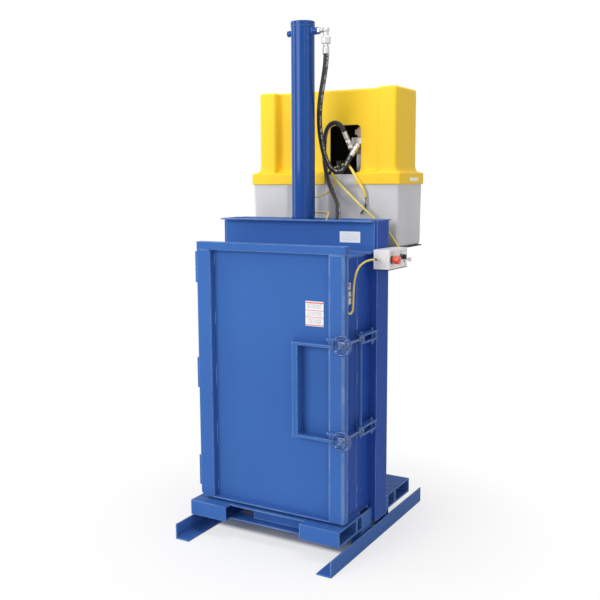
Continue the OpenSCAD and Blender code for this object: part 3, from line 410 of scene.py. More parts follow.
def addBox(bm, low, high, bevel, segments=2):
    low, high = Vector(low), Vector(high)
    made = bmesh.ops.create_cube(bm, size=1.0)["verts"]
    for v in made:
        v.co = Vector([low[i] + (v.co[i] + 0.5) * (high[i] - low[i]) for i in range(3)])
    edges = list(dict.fromkeys(e for v in made for e in v.link_edges))  # in the same order each run
    bmesh.ops.bevel(bm, geom=edges, offset=bevel, segments=segments, profile=0.5, affect="EDGES")


def meshFrom(bm, name):
    bmesh.ops.recalc_face_normals(bm, faces=bm.faces)
    mesh = bpy.data.meshes.new(name)
    bm.to_mesh(mesh)
    bm.free()
    return mesh


def pieceFrom(bm, name, body, slotName, replaced=(), material=None, angle=32):
    mesh = meshFrom(bm, name)
    mesh.polygons.foreach_set("use_smooth", [True] * len(mesh.polygons))
    mesh.set_sharp_from_angle(angle=math.radians(angle))
    obj = linkNew(name, mesh)
    obj.data.materials.append(material or finish[slotName])
    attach(obj, body)
    if replaced:
        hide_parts(*replaced)
    return obj


def addWall(obj, thickness, lining=0):  # inwards from the outer skin; the inner skin may take another slot, such as the hood's painted shade
    wall = obj.modifiers.new("wall", "SOLIDIFY")
    wall.thickness = thickness
    wall.offset = -1
    wall.material_offset = lining


def bakeModifiers(obj):
    depsgraph = bpy.context.evaluated_depsgraph_get()
    mesh = bpy.data.meshes.new_from_object(obj.evaluated_get(depsgraph))
    obj.modifiers.clear()
    obj.data = mesh


# Hoses and cables


def smoothPath(points, step):  # a centripetal Catmull-Rom curve
    pts = [Vector(p) for p in points]
    pts = [pts[0] * 2 - pts[1]] + pts + [pts[-1] * 2 - pts[-2]]
    path = []
    for i in range(1, len(pts) - 2):
        a, b, c, d = pts[i - 1 : i + 3]
        tb = (b - a).length ** 0.5
        tc = tb + (c - b).length ** 0.5
        td = tc + (d - c).length ** 0.5
        count = max(2, math.ceil((c - b).length / step))
        for k in range(count):
            t = tb + (tc - tb) * k / count
            ab = a.lerp(b, t / tb)
            bc = b.lerp(c, (t - tb) / (tc - tb))
            cd = c.lerp(d, (t - tc) / (td - tc))
            abc = ab.lerp(bc, t / tc)
            bcd = bc.lerp(cd, (t - tb) / (td - tb))
            path.append(abc.lerp(bcd, (t - tb) / (tc - tb)))
    path.append(pts[-2])
    return path


tubeSet = {"step": 0.35, "passes": 10, "pinned": 3, "sides": {"hose_rubber": 28, "cable_yellow": 18}}


def relaxPath(path):  # the points next to a fitting stay in line with it
    pinned = tubeSet["pinned"]
    for _ in range(tubeSet["passes"]):
        eased = [p.copy() for p in path]
        for i in range(pinned, len(path) - pinned):
            eased[i] = path[i] * 0.5 + (path[i - 1] + path[i + 1]) * 0.25
        path = eased
    return path


def sweepTube(name, path, radius, sides, facing, material):
    mesh = bpy.data.meshes.new(name)
    verts, faces, around, along = [], [], [], []
    side = Vector(facing)
    run = 0.0
    for i, p in enumerate(path):
        ahead = path[min(i + 1, len(path) - 1)] - path[max(i - 1, 0)]
        ahead.normalize()
        side = (side - ahead * side.dot(ahead)).normalized()
        other = ahead.cross(side)
        if i:
            run += (p - path[i - 1]).length
        for k in range(sides):
            angle = 2 * math.pi * k / sides + math.pi  # the seam lies opposite to facing
            verts.append(p + (side * math.cos(angle) + other * math.sin(angle)) * radius)
            around.append(k / sides)
            along.append(run)
    for i in range(len(path) - 1):
        for k in range(sides):
            m = (k + 1) % sides
            faces.append((i * sides + k, i * sides + m, (i + 1) * sides + m, (i + 1) * sides + k))
    last = (len(path) - 1) * sides
    faces.append(tuple(reversed(range(sides))))
    faces.append(tuple(range(last, last + sides)))
    mesh.from_pydata(verts, [], faces)
    for label, values in (("around", around), ("along", along)):
        mesh.attributes.new(label, "FLOAT", "POINT").data.foreach_set("value", values)
    mesh.polygons.foreach_set("use_smooth", [True] * (len(faces) - 2) + [False] * 2)
    obj = linkNew(name, mesh)
    obj.data.materials.append(material)
    return obj


cordSet = {
    "upperHose": {
        "node": "upper_hose", "diameter": 0.026, "stiffness": "stiff",
        "facing": (1, -0.6, 0), "slot": "hose_rubber",
        "route": [
            (0.126, 0, 2.327), (0.126, 0, 2.303), (0.120, 0.002, 2.260), (0.106, 0.008, 2.200),
            (0.086, 0.020, 2.130), (0.069, 0.038, 2.060), (0.058, 0.062, 1.985), (0.054, 0.092, 1.912),
            (0.057, 0.120, 1.848), (0.070, 0.143, 1.802), (0.092, 0.158, 1.778), (0.118, 0.168, 1.776),
            (0.138, 0.178, 1.800), (0.148, 0.189, 1.831), (0.157, 0.206, 1.856),
        ],
    },
    "lowerHose": {
        "node": "lower_hose", "diameter": 0.023, "stiffness": "stiff",
        "facing": (-1, -0.6, 0), "slot": "hose_rubber",
        "route": [
            (0.122, 0.200, 1.976), (0.115, 0.190, 2.001), (0.101, 0.184, 2.017), (0.079, 0.180, 2.024),
            (0.055, 0.178, 2.014), (0.037, 0.177, 1.992), (0.026, 0.178, 1.960), (0.020, 0.180, 1.910),
            (0.019, 0.182, 1.848), (0.028, 0.180, 1.788), (0.052, 0.168, 1.724), (0.086, 0.144, 1.678),
            (0.120, 0.108, 1.649), (0.150, 0.069, 1.630), (0.173, 0.034, 1.612), (0.185, 0.011, 1.591),
            (0.189, 0.002, 1.572), (0.190, 0, 1.556), (0.190, 0, 1.540),
        ],
    },
    "controlCable": {
        "node": "control_cable", "diameter": 0.010, "stiffness": "medium",
        "facing": toTop, "slot": "cable_yellow",
        "route": [
            (0.048, 0.262, 1.800), (0.048, 0.244, 1.800), (0.047, 0.224, 1.796), (0.052, 0.200, 1.786),
            (0.076, 0.170, 1.757), (0.112, 0.164, 1.721), (0.180, 0.158, 1.660), (0.260, 0.152, 1.592),
            (0.330, 0.158, 1.531), (0.383, 0.165, 1.484), (0.420, 0.167, 1.432), (0.445, 0.164, 1.400),
            (0.461, 0.153, 1.380), (0.468, 0.138, 1.370), (0.468, 0.121, 1.370),
        ],
    },
    "interlockCable": {
        "node": "interlock_cable", "diameter": 0.009, "stiffness": "medium",
        "facing": toRight, "slot": "cable_yellow",
        "route": [
            (0.395, -0.305, 1.174), (0.395, -0.305, 1.160), (0.397, -0.301, 1.149), (0.400, -0.292, 1.143),
            (0.402, -0.281, 1.144), (0.404, -0.272, 1.154), (0.405, -0.268, 1.180), (0.406, -0.267, 1.230),
            (0.408, -0.262, 1.285), (0.411, -0.248, 1.325), (0.418, -0.222, 1.355), (0.432, -0.192, 1.372),
            (0.448, -0.170, 1.378), (0.457, -0.158, 1.378), (0.457, -0.139, 1.378),
        ],
    },
    "sensorCable": {
        "node": "sensor_cable", "diameter": 0.008, "stiffness": "medium",
        "facing": toTop, "slot": "cable_yellow",
        "route": [
            (0.072, 0.262, 1.784), (0.072, 0.244, 1.784), (0.073, 0.214, 1.784), (0.076, 0.194, 1.777),
            (0.078, 0.184, 1.752), (0.077, 0.180, 1.716), (0.058, 0.168, 1.682), (0.020, 0.140, 1.658),
            (-0.040, 0.110, 1.642), (-0.078, 0.102, 1.618), (-0.066, 0.100, 1.588), (0, 0.101, 1.577),
            (0.062, 0.100, 1.577), (0.098, 0.076, 1.574), (0.102, 0.045, 1.540), (0.102, 0.045, 1.499),
        ],
    },
    "supplyCable": {
        "node": "supply_cable", "diameter": 0.014, "stiffness": "medium",
        "facing": toTop, "slot": "cable_yellow",
        "route": [
            (0.094, 0.262, 1.806), (0.094, 0.244, 1.806), (0.100, 0.224, 1.812), (0.120, 0.212, 1.814),
            (0.148, 0.202, 1.806), (0.172, 0.186, 1.786), (0.190, 0.178, 1.764), (0.208, 0.176, 1.738),
            (0.230, 0.176, 1.706), (0.245, 0.179, 1.676), (0.250, 0.182, 1.650),
        ],
    },
}
leadSet = {
    "route": [cordSet["supplyCable"]["route"][-1], (0.251, 0.183, 1.628), (0.247, 0.184, 1.604),
              (0.236, 0.184, 1.584), (0.222, 0.184, 1.570)],
    "diameter": 0.0044, "spread": 0.0031, "tight": 0.75, "flare": 0.7, "rise": 0.2, "turns": 2.2,
    "step": 0.003, "sides": 10, "wires": ["wireBlack", "wireWhite", "wireBrown"],
}


def addLeads():
    wires = []
    path = smoothPath(leadSet["route"], leadSet["step"])
    for n, wire in enumerate(leadSet["wires"]):
        twisted = []
        for i, p in enumerate(path):
            share = i / (len(path) - 1)
            angle = 2 * math.pi * (leadSet["turns"] * share + n / len(leadSet["wires"]))
            spread = leadSet["spread"] * (leadSet["tight"] + leadSet["flare"] * share)
            out = Vector((math.cos(angle), math.sin(angle), leadSet["rise"] * math.sin(angle)))
            twisted.append(p + out * spread)
        radius = leadSet["diameter"] / 2
        lead = sweepTube("supplyLead_" + wire, twisted, radius, leadSet["sides"], toRear, extra[wire])
        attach(lead, "frame")
        wires.append(lead)
    return wires


def addCords():
    leads = addLeads()
    for name, values in cordSet.items():
        path = relaxPath(smoothPath(values["route"], values["diameter"] * tubeSet["step"]))
        sides = tubeSet["sides"][values["slot"]]
        cord = sweepTube(name, path, values["diameter"] / 2, sides, values["facing"], finish[values["slot"]])
        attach(cord, "frame")
        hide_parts(values["node"])


addCords()
print("hoses and cables laid")

# Power unit: moulded hood and bin

cornerSteps = 7


def cornerArc(corner, arriving, leaving, radius):
    corner, arriving, leaving = Vector(corner), Vector(arriving), Vector(leaving)
    centre = corner + (leaving - arriving) * radius
    return [centre - leaving * radius * math.cos(angle) + arriving * radius * math.sin(angle)
            for angle in quarterAngles(cornerSteps)]


def loftRings(bm, rings, capTop=True, capBottom=False):
    made = [[bm.verts.new(p) for p in ring] for ring in rings]
    for near, far in zip(made, made[1:]):
        bridgeRings(bm, near, far)
    if capTop:
        bm.faces.new(made[-1])
    if capBottom:
        bm.faces.new(list(reversed(made[0])))


hoodSet = {
    "rim": (0.428, 0.189, 0.510), "body": (0.390, 0.2015, 0.4665), "shift": 0.010,  # half width, front, back
    "recess": 0.050, "block": 0.290, "thinnest": 0.0006, "radius": 0.016, "topEdge": 0.014, "topSteps": 6,
    "low": 1.715, "rimEdge": 0.0025, "levels": (1.90, 2.02), "top": 2.188, "wall": 0.005,
    "shoulder": [(1.7175, 0.0), (1.764, 0.0), (1.7678, 0.02), (1.7708, 0.075), (1.7728, 0.19), (1.7746, 0.40),
                 (1.7770, 0.61), (1.7815, 0.78), (1.7885, 0.90), (1.798, 0.972), (1.810, 1.0)],
    "notch": (0.015, 0.190, 2.012, 0.026), "notchFrom": 1.70, "notchDepth": (0.15, 0.33),
}


def hoodRing(z, share, inset):  # share goes from 0 at the rim to 1 at the body
    values = hoodSet
    half, front, back = (a + (b - a) * share for a, b in zip(values["rim"], values["body"]))
    half, front, back = half - inset, front + inset, back - inset
    depth = max(values["thinnest"], values["recess"] * share)
    block = values["block"] + inset
    outer = values["radius"] - inset * 0.8
    small, wide = min(outer, depth * 0.49), min(values["radius"] + inset, depth * 0.49)
    left, right, away, near = (-1, 0), (1, 0), (0, 1), (0, -1)
    corners = [
        ((-half, front), near, right, outer), ((-block, front), right, away, small),
        ((-block, front + depth), away, right, wide), ((block, front + depth), right, near, wide),
        ((block, front), near, right, small), ((half, front), right, away, outer),
        ((half, back), away, left, outer), ((-half, back), left, near, outer),
    ]
    plan = [p for corner in corners for p in cornerArc(*corner)]
    return [(p.x + values["shift"] * share, p.y, z) for p in plan]


def notchCutter():
    x0, x1, top, corner = hoodSet["notch"]
    bottom = hoodSet["notchFrom"]
    outline = [Vector((x0, bottom)), Vector((x1, bottom))]
    outline += cornerArc((x1, top), (0, 1), (-1, 0), corner) + cornerArc((x0, top), (-1, 0), (0, -1), corner)
    bm = bmesh.new()
    loftRings(bm, [[(p.x, y, p.y) for p in outline] for y in hoodSet["notchDepth"]], True, True)
    return linkNew("notchCutter", meshFrom(bm, "notchCutter"))


def addHood():
    values = hoodSet
    radius = values["topEdge"]
    rings = [hoodRing(values["low"], 0, values["rimEdge"])]
    rings += [hoodRing(z, share, 0) for z, share in values["shoulder"]]
    rings += [hoodRing(z, 1, 0) for z in values["levels"]]
    for angle in quarterAngles(values["topSteps"]):
        z = values["top"] - radius + radius * math.sin(angle)
        rings.append(hoodRing(z, 1, radius * (1 - math.cos(angle))))
    bm = bmesh.new()
    loftRings(bm, rings)
    hood = pieceFrom(bm, "powerUnitHood", "frame", "hood_yellow", ["power_unit_hood"], angle=40)
    # the hood's inner skin takes the painted shade as its second material
    hood.data.materials.append(extra["lining"])
    addWall(hood, values["wall"], 1)
    tool = notchCutter()
    cut = hood.modifiers.new("notch", "BOOLEAN")
    cut.operation = "DIFFERENCE"
    cut.object = tool
    cut.solver = "EXACT"
    bakeModifiers(hood)
    bpy.data.objects.remove(tool)


binSet = {
    "half": 0.421, "front": 0.196, "back": 0.503, "radius": 0.016, "low": 1.405, "wall": 0.006,
    "foot": 0.012, "footDraft": 0.005, "footSteps": 4,
    "grooves": [(-0.215, -0.120), (-0.035, 0.035), (0.120, 0.215)], "depth": 0.010, "slope": 0.026,
    "steps": 90,
    # each level is a height, a draft and a share of the grooves' depth
    "levels": [(1.425, 0.0045, 0.0), (1.436, 0.004, 0.6), (1.446, 0.004, 1.0), (1.58, 0.003, 1.0),
               (1.695, 0.001, 1.0), (1.706, 0.001, 0.6), (1.713, 0.0005, 0.0), (1.766, 0.0, 0.0)],
}


def grooveDepth(x):
    values = binSet
    deepest = 0.0
    for low, high in values["grooves"]:
        slope = min(values["slope"], (high - low) / 2)
        inside = min(x - low, high - x)
        if inside > 0:
            share = min(1.0, inside / slope)
            deepest = max(deepest, values["depth"] * share * share * (3 - 2 * share))
    return deepest


def binRing(z, draft, depthShare, inset=0.0):
    values = binSet
    half, radius, steps = values["half"] - draft - inset, values["radius"], values["steps"]
    plan = []
    for side, y in ((1, values["front"] + draft + inset), (-1, values["back"] - draft - inset)):
        plan += cornerArc((-half * side, y), (0, -side), (side, 0), radius)
        for k in range(1, steps):
            x = (-half + radius + (2 * half - 2 * radius) * k / steps) * side
            plan.append(Vector((x, y + grooveDepth(x) * depthShare * side)))
        plan += cornerArc((half * side, y), (side, 0), (0, side), radius)
    return [(p.x, p.y, z) for p in plan]


def addBin():
    values = binSet
    foot = values["foot"]
    rings = []
    for angle in quarterAngles(values["footSteps"]):
        level, inset = values["low"] + foot * (1 - math.cos(angle)), foot * (1 - math.sin(angle))
        rings.append(binRing(level, values["footDraft"], 0, inset))
    rings += [binRing(*level) for level in values["levels"]]
    bm = bmesh.new()
    loftRings(bm, rings, False, True)
    tub = pieceFrom(bm, "powerUnitBin", "frame", "bin_grey", ["power_unit_bin"], angle=50)
    addWall(tub, values["wall"])
    bakeModifiers(tub)


addHood()
addBin()
print("power unit moulded")

# Latches: handwheels and swing bolts

wheelSet = {
    "x": 0.416, "plane": -0.400, "levels": {"upper": 1.018, "lower": 0.586},
    "diameter": 0.098, "rim": 0.012, "rimPoints": 16, "rimSides": 72, "spoke": 0.0088, "spokeFrom": 0.012,
    "spokes": 4,
    "hub": (0.376, 0.406), "hubRadius": 0.0195, "bore": 0.0081,
}
boltSet = {
    "radius": 0.008, "core": 0.0014, "shank": 0.0006, "pitch": 0.003, "end": -0.414, "threadFrom": -0.330,
    "eye": 0.017, "eyeHeight": 0.0118, "eyeEdge": 0.0015, "eyeReach": 0.0155, "bore": 0.0071, "rod": -0.207,
}


def addHandwheel(name, body, z, replaced):
    values = wheelSet
    bm = bmesh.new()
    tube = values["rim"] / 2
    rimRadius = (values["diameter"] - values["rim"]) / 2
    profile = [(tube * math.cos(a), rimRadius + tube * math.sin(a)) for a in roundAngles(values["rimPoints"])]
    centre = (values["x"], values["plane"], z)
    addLathe(bm, centre, toRear, profile, values["rimSides"], True)
    spoke, begin = values["spoke"] / 2, values["spokeFrom"]
    reach = rimRadius - begin
    flare = [(0.0, spoke * 1.5), (0.003, spoke * 1.15), (0.008, spoke), (reach - 0.008, spoke),
             (reach - 0.003, spoke * 1.12), (reach, spoke * 1.35)]
    for k in range(values["spokes"]):
        angle = math.radians(45 + 360 / values["spokes"] * k)
        out = Vector((math.cos(angle), 0, math.sin(angle)))
        addLathe(bm, Vector(centre) + out * begin, out, flare, 18)
    back, front = values["hub"]
    hub, bore = values["hubRadius"], values["bore"]
    depth = front - back
    profile = [(0.0, bore), (0.0, hub - 0.002), (0.002, hub), (depth - 0.003, hub),
               (depth - 0.001, hub - 0.001), (depth, hub - 0.003), (depth, bore + 0.001),
               (depth - 0.001, bore)]
    addLathe(bm, (values["x"], -back, z), toFront, profile, 56, True)
    pieceFrom(bm, name, body, "latch_enamel", [replaced])


def addSwingBolt(name, body, z, replaced):
    values = boltSet
    x, rod, radius = wheelSet["x"], values["rod"], values["radius"]
    bm = bmesh.new()
    eye, high, bore, edge = values["eye"], values["eyeHeight"], values["bore"], values["eyeEdge"]
    addLathe(bm, (x, rod, z - high), toTop,
             [(0.0, bore), (0.0, eye - edge), (edge, eye), (2 * high - edge, eye), (2 * high, eye - edge),
              (2 * high, bore)], 48, True)
    run, smooth = rod - values["end"], rod - values["threadFrom"]
    shank = radius - values["shank"]
    profile = [(values["eyeReach"], shank), (smooth, shank)]
    at = smooth + 0.001
    while at < run - 0.004:
        profile += [(at, radius - values["core"]), (at + values["pitch"] / 2, radius)]
        at += values["pitch"]
    profile += [(run - 0.0018, radius - 0.0008), (run, radius - 0.003)]
    addLathe(bm, (x, rod, z), toFront, profile, 28)
    pieceFrom(bm, name, body, "latch_enamel", [replaced], angle=24)


for level, z in wheelSet["levels"].items():
    addHandwheel(level + "Handwheel", level + "_wheel", z, level + "_handwheel")
    addSwingBolt(level + "SwingBolt", level + "_latch", z, level + "_swing_bolt")
print("latches made")

# Fittings: nuts, crimped ferrules, elbows and glands

ferruleSet = {
    "pitch": 0.009, "from": 0.004, "plain": 0.016, "groove": 0.955, "lip": 0.002,
    "tail": [(-0.011, 1), (-0.006, 0.80), (0, 0.66)],
}


def addHex(bm, base, axis, corner, height, turn=0.0):
    edge = min(0.0022, height * 0.2)
    radius = corner / 2
    profile = [(0.0, radius * 0.90), (edge, radius), (height - edge, radius), (height, radius * 0.90)]
    addLathe(bm, base, axis, profile, 6, False, turn)


def addFerrule(bm, start, end, radius, mouth):
    start, end = Vector(start), Vector(end)
    axis = end - start
    length = axis.length
    groove = radius * ferruleSet["groove"]
    profile = [(0.0, mouth), (0.0, radius * 0.93), (ferruleSet["lip"], radius)]
    grooves = max(3, int(length / ferruleSet["pitch"]))
    for k in range(grooves):
        at = ferruleSet["from"] + (length - ferruleSet["plain"]) * k / grooves
        step = (length - ferruleSet["plain"]) / grooves
        profile += [(at, radius), (at + step * 0.25, groove), (at + step * 0.70, groove),
                    (at + step * 0.92, radius)]
    profile += [(length + back, radius * share) for back, share in ferruleSet["tail"]]
    addLathe(bm, start, axis, profile, 36)


def addBall(bm, centre, axis, radius, sides):
    angles = [math.pi * k / 12 for k in range(13)]
    profile = [(radius - radius * math.cos(angle), max(0.0004, radius * math.sin(angle))) for angle in angles]
    addLathe(bm, Vector(centre) - Vector(axis) * radius, axis, profile, sides)


elbowSet = {
    "upper": {
        "x": 0.126, "z": 2.437, "from": 0.084, "tube": 0.011, "ball": 0.0165, "outlet": toFloor,
        "stem": [(0.0, 0.0125), (0.024, 0.0125), (0.026, 0.0118), (0.031, 0.0118)],
        "ferrule": (-0.110, -0.070, 0.0163, 0.0131),
    },
    "lower": {
        "x": 0.190, "z": 1.490, "from": 0.077, "tube": 0.0108, "ball": 0.0160, "outlet": toTop,
        "stem": [(0.0, 0.0115), (0.018, 0.0115), (0.019, 0.0105), (0.024, 0.0105)],
        "ferrule": (0.050, 0.018, 0.0149, 0.0118),
    },
    "nut": (0.0318, 0.014), "swivel": (0.0455, 0.034, 0.35), "swivelDrop": 0.030,
    "neck": [(0.0, 0.0118), (0.010, 0.0118), (0.012, 0.0105)], "neckDrop": 0.063,
}


def addElbows():
    bm = bmesh.new()
    both = (elbowSet["upper"], elbowSet["lower"])
    for values in both:
        x, z, begin, tube = values["x"], values["z"], values["from"], values["tube"]
        corner, height = elbowSet["nut"]
        run = x - begin
        addHex(bm, (begin, 0, z), toRight, corner, height)
        addLathe(bm, (begin + height, 0, z), toRight,
                 [(0.0, tube * 0.82), (0.002, tube * 0.82), (0.004, tube), (run - 0.026, tube),
                  (run - 0.022, tube * 1.22), (run - 0.016, tube * 1.22)], 28)
        addBall(bm, (x, 0, z), toRight, values["ball"], 28)
    for values in both:
        x, z, outlet = values["x"], values["z"], values["outlet"]
        addLathe(bm, (x, 0, z), outlet, values["stem"], 28)
        if outlet == toFloor:  # the upper hose has a swivel nut
            addHex(bm, (x, 0, z - elbowSet["swivelDrop"]), outlet, *elbowSet["swivel"])
            addLathe(bm, (x, 0, z - elbowSet["neckDrop"]), outlet, elbowSet["neck"], 28)
        start, end, radius, mouth = values["ferrule"]
        addFerrule(bm, (x, 0, z + start), (x, 0, z + end), radius, mouth)
    pieceFrom(bm, "portElbows", "frame", "bright_steel", ["port_elbows"])


valveSet = {
    "low": (0.128, 0.2685, 1.872), "high": (0.215, 0.355, 1.950), "foot": (0.148, 0.205), "bottom": 1.661,
    "tank": (0.108, 0.215, 0.420, 1.801), "pump": (0.020, 0.375, 1.756),
    "pumpProfile": [(0.0, 0.042), (0.004, 0.045), (0.030, 0.045), (0.034, 0.040), (0.070, 0.040),
                    (0.074, 0.045), (0.104, 0.045), (0.108, 0.041)],
    "screws": ((0.141, 1.885), (0.202, 1.937), (0.202, 1.885)), "screw": (0.016, 0.006),
    "adapter": 0.0112, "adapterNut": (0.0262, 0.010, 0.3),
    "plugs": ((0.128, 0.300, 1.888, 0.020, 0.014), (0.128, 0.332, 1.930, 0.017, 0.010)),
}
coilSet = {
    "place": (0.150, 0.286, 1.950), "body": ((0.002, 0, 0.001), (0.052, 0.046, 0.052)),
    "plug": ((-0.016, 0.008, 0.014), (0.004, 0.038, 0.042)), "cap": (0.027, 0.023, 0.050),
    "capProfile": [(0.0, 0.011), (0.010, 0.011), (0.012, 0.009), (0.016, 0.008)],
}
upperRoute, lowerRoute = cordSet["upperHose"]["route"], cordSet["lowerHose"]["route"]
hoseEndSet = {
    "ends": [
        {"end": upperRoute[-1], "adapter": (0.175, 0.240, 1.906), "radius": 0.0138, "mouth": 0.0131},
        {"end": lowerRoute[0], "adapter": (0.143, 0.230, 1.901), "radius": 0.0128, "mouth": 0.0116},
    ],
    "stem": 0.0105, "ball": 0.0150,
    "shares": {"ferrule": 0.56, "nutFrom": 0.52, "nut": 0.30, "stemFrom": 0.80, "stem": 0.2},
}


def addValveBlock():
    values = valveSet
    low, high = values["low"], values["high"]
    x0, x1 = values["foot"]
    bm = bmesh.new()
    addBox(bm, low, high, 0.003)
    addBox(bm, (x0, low[1] + 0.02, values["bottom"]), (x1, high[1], low[2]), 0.002)
    left, right, back, top = values["tank"]
    addBox(bm, (left, high[1], values["bottom"]), (right, back, top), 0.004)
    addLathe(bm, values["pump"], toRight, values["pumpProfile"], 40)
    for x, z in values["screws"]:
        addHex(bm, (x, low[1], z), toFront, *values["screw"])
    adapter, (corner, height, turn) = values["adapter"], values["adapterNut"]
    for hose in hoseEndSet["ends"]:
        x, y, z = hose["adapter"]
        addLathe(bm, (x, y, z), toRear, [(0.0, adapter), (low[1] - y, adapter)], 26)
        addHex(bm, (x, low[1] - height, z), toRear, corner, height, turn)
    pieceFrom(bm, "pumpValveUnit", "frame", "valve_metal", ["pump_valve_block"])


def addValveHoseEnds():
    shares, stem = hoseEndSet["shares"], hoseEndSet["stem"]
    bm = bmesh.new()
    for values in hoseEndSet["ends"]:
        end, adapter = Vector(values["end"]), Vector(values["adapter"])
        axis = (adapter - end).normalized()
        length = (adapter - end).length
        addFerrule(bm, end, end + axis * length * shares["ferrule"], values["radius"], values["mouth"])
        nut = end + axis * length * shares["nutFrom"]
        addHex(bm, nut, axis, values["radius"] * 2.04, length * shares["nut"], 0.2)
        profile = [(0.0, stem), (length * shares["stem"], stem)]
        addLathe(bm, end + axis * length * shares["stemFrom"], axis, profile, 26)
        addBall(bm, adapter, axis, hoseEndSet["ball"], 26)
    pieceFrom(bm, "valveHoseEnds", "frame", "bright_steel")


def addValveCoil():
    place = Vector(coilSet["place"])
    bm = bmesh.new()
    for part, bevel in (("body", 0.005), ("plug", 0.004)):
        low, high = coilSet[part]
        addBox(bm, place + Vector(low), place + Vector(high), bevel, 3)
    addLathe(bm, place + Vector(coilSet["cap"]), toTop, coilSet["capProfile"], 20)
    pieceFrom(bm, "valveCoil", "frame", "valve_metal", material=extra["coil"])


def addValvePlugs():
    bm = bmesh.new()
    for x, y, z, corner, height in valveSet["plugs"]:
        addHex(bm, (x, y, z), toLeft, corner, height)
        profile = [(0.0, corner * 0.32), (0.008, corner * 0.32), (0.010, corner * 0.25)]
        addLathe(bm, (x - height, y, z), toLeft, profile, 20)
    pieceFrom(bm, "valvePlugs", "frame", "valve_metal", material=extra["brass"])


# place, direction, length, radius of the cable, length of the sleeve
glandSet = {
    "box": ((0.457, -0.113, 1.378), toFront, 0.026, 0.0045, 0.020),
    "rear": ((0.468, 0.095, 1.370), toRear, 0.026, 0.005, 0.012),
    "controls": ((0.048, 0.282, 1.800), toFront, 0.020, 0.005, 0.014),
    "sensorIn": ((0.072, 0.282, 1.784), toFront, 0.020, 0.004, 0.014),
    "supply": ((0.094, 0.282, 1.806), toFront, 0.020, 0.007, 0.018),
}
ribSet = {"count": 12, "place": 0.0090, "root": 0.0006, "radius": 0.0011}
sensorGland = {
    "base": (0.102, 0.045, 1.465), "nut": (0.0178, 0.006), "sleeveUp": 0.033,
    "body": [(0.0, 0.0075), (0.016, 0.0075), (0.017, 0.0085), (0.026, 0.0085), (0.028, 0.0070)],
    "sleeve": [(0.0, 0.0062), (0.004, 0.0066), (0.016, 0.0046)],
}


def addGlands():
    nuts, sleeves = bmesh.new(), bmesh.new()
    root, radius = ribSet["root"], ribSet["radius"]
    for base, axis, length, cable, reach in glandSet.values():
        base, axis = Vector(base), Vector(axis)
        addHex(nuts, base, axis, 0.0198, length * 0.26, 0.25)
        addLathe(nuts, base + axis * length * 0.26, axis,
                 [(0.0, 0.0078), (length * 0.10, 0.0078), (length * 0.12, 0.0092), (length * 0.42, 0.0094),
                  (length * 0.60, 0.0088), (length * 0.70, 0.0074), (length * 0.74, cable + 0.0008)], 32)
        for angle in roundAngles(ribSet["count"]):
            side = Vector((math.cos(angle), 0, math.sin(angle)))
            addLathe(nuts, base + axis * length * 0.40 + side * ribSet["place"], axis,
                     [(0.0, root), (0.0012, radius), (length * 0.25, radius), (length * 0.30, root)], 6)
        addLathe(sleeves, base + axis * (length - 0.001), axis,
                 [(0.0, cable + 0.0016), (0.003, cable + 0.0022), (reach * 0.5, cable + 0.0014),
                  (reach, cable + 0.0004)], 24)
    x, y, z = sensorGland["base"]
    corner, height = sensorGland["nut"]
    addHex(nuts, (x, y, z), toTop, corner, height)
    addLathe(nuts, (x, y, z + height), toTop, sensorGland["body"], 28)
    addLathe(sleeves, (x, y, z + sensorGland["sleeveUp"]), toTop, sensorGland["sleeve"], 24)
    pieceFrom(nuts, "cableGlands", "frame", "gland_metal", ["cable_glands"])
    pieceFrom(sleeves, "glandSleeves", "frame", "knob_black")


addElbows()
addValveBlock()
addValveHoseEnds()
addValveCoil()
addValvePlugs()
addGlands()
print("fittings made")

# Control box, its buttons and the door switch

boxSet = {
    "face": 0.511, "y": (-0.113, 0.095), "z": (1.330, 1.419), "hidden": 0.030, "sunk": 0.0004,
    "proud": 0.0003, "stop": (-0.083, 1.373), "selector": (0.023, 1.380), "key": (0.069, 1.364),
    "screwIn": 0.008,
    "screw": [(0.0, 0.0042), (0.0012, 0.0042), (0.0022, 0.0030), (0.0022, 0.0014), (0.0012, 0.0010)],
}
ringSet = {
    "bore": 0.0112, "thick": 0.0012, "edge": 0.0022,
    "radius": {"stop": 0.0205, "selector": 0.0150, "key": 0.0150},
}
legendSet = {
    "widths": {"stop": 0.046, "selector": 0.030, "key": 0.022}, "below": (0.0165, 0.0125), "words": 5,
    "bevel": 0.0001, "marks": 10, "markFrom": 40, "markStep": 28, "markRadius": 0.0265,
    "mark": (0.0016, 0.0010),
}


def addLidScrews():
    face, inset = boxSet["face"], boxSet["screwIn"]
    (y0, y1), (z0, z1) = boxSet["y"], boxSet["z"]
    bm = bmesh.new()
    for y in (y0 + inset, y1 - inset):
        for z in (z0 + inset, z1 - inset):
            addLathe(bm, (face - 0.0005, y, z), toRight, boxSet["screw"], 20)
    pieceFrom(bm, "boxLidScrews", "frame", "bright_steel")


def addControlRings():
    bore, thick, edge = ringSet["bore"], ringSet["thick"], ringSet["edge"]
    bm = bmesh.new()
    for name, outer in ringSet["radius"].items():
        y, z = boxSet[name]
        profile = [(0.0, bore), (0.0, outer), (thick, outer), (edge, outer - thick), (edge, bore)]
        addLathe(bm, (boxSet["face"], y, z), toRight, profile, 44, True)
    pieceFrom(bm, "controlRings", "frame", "knob_black")


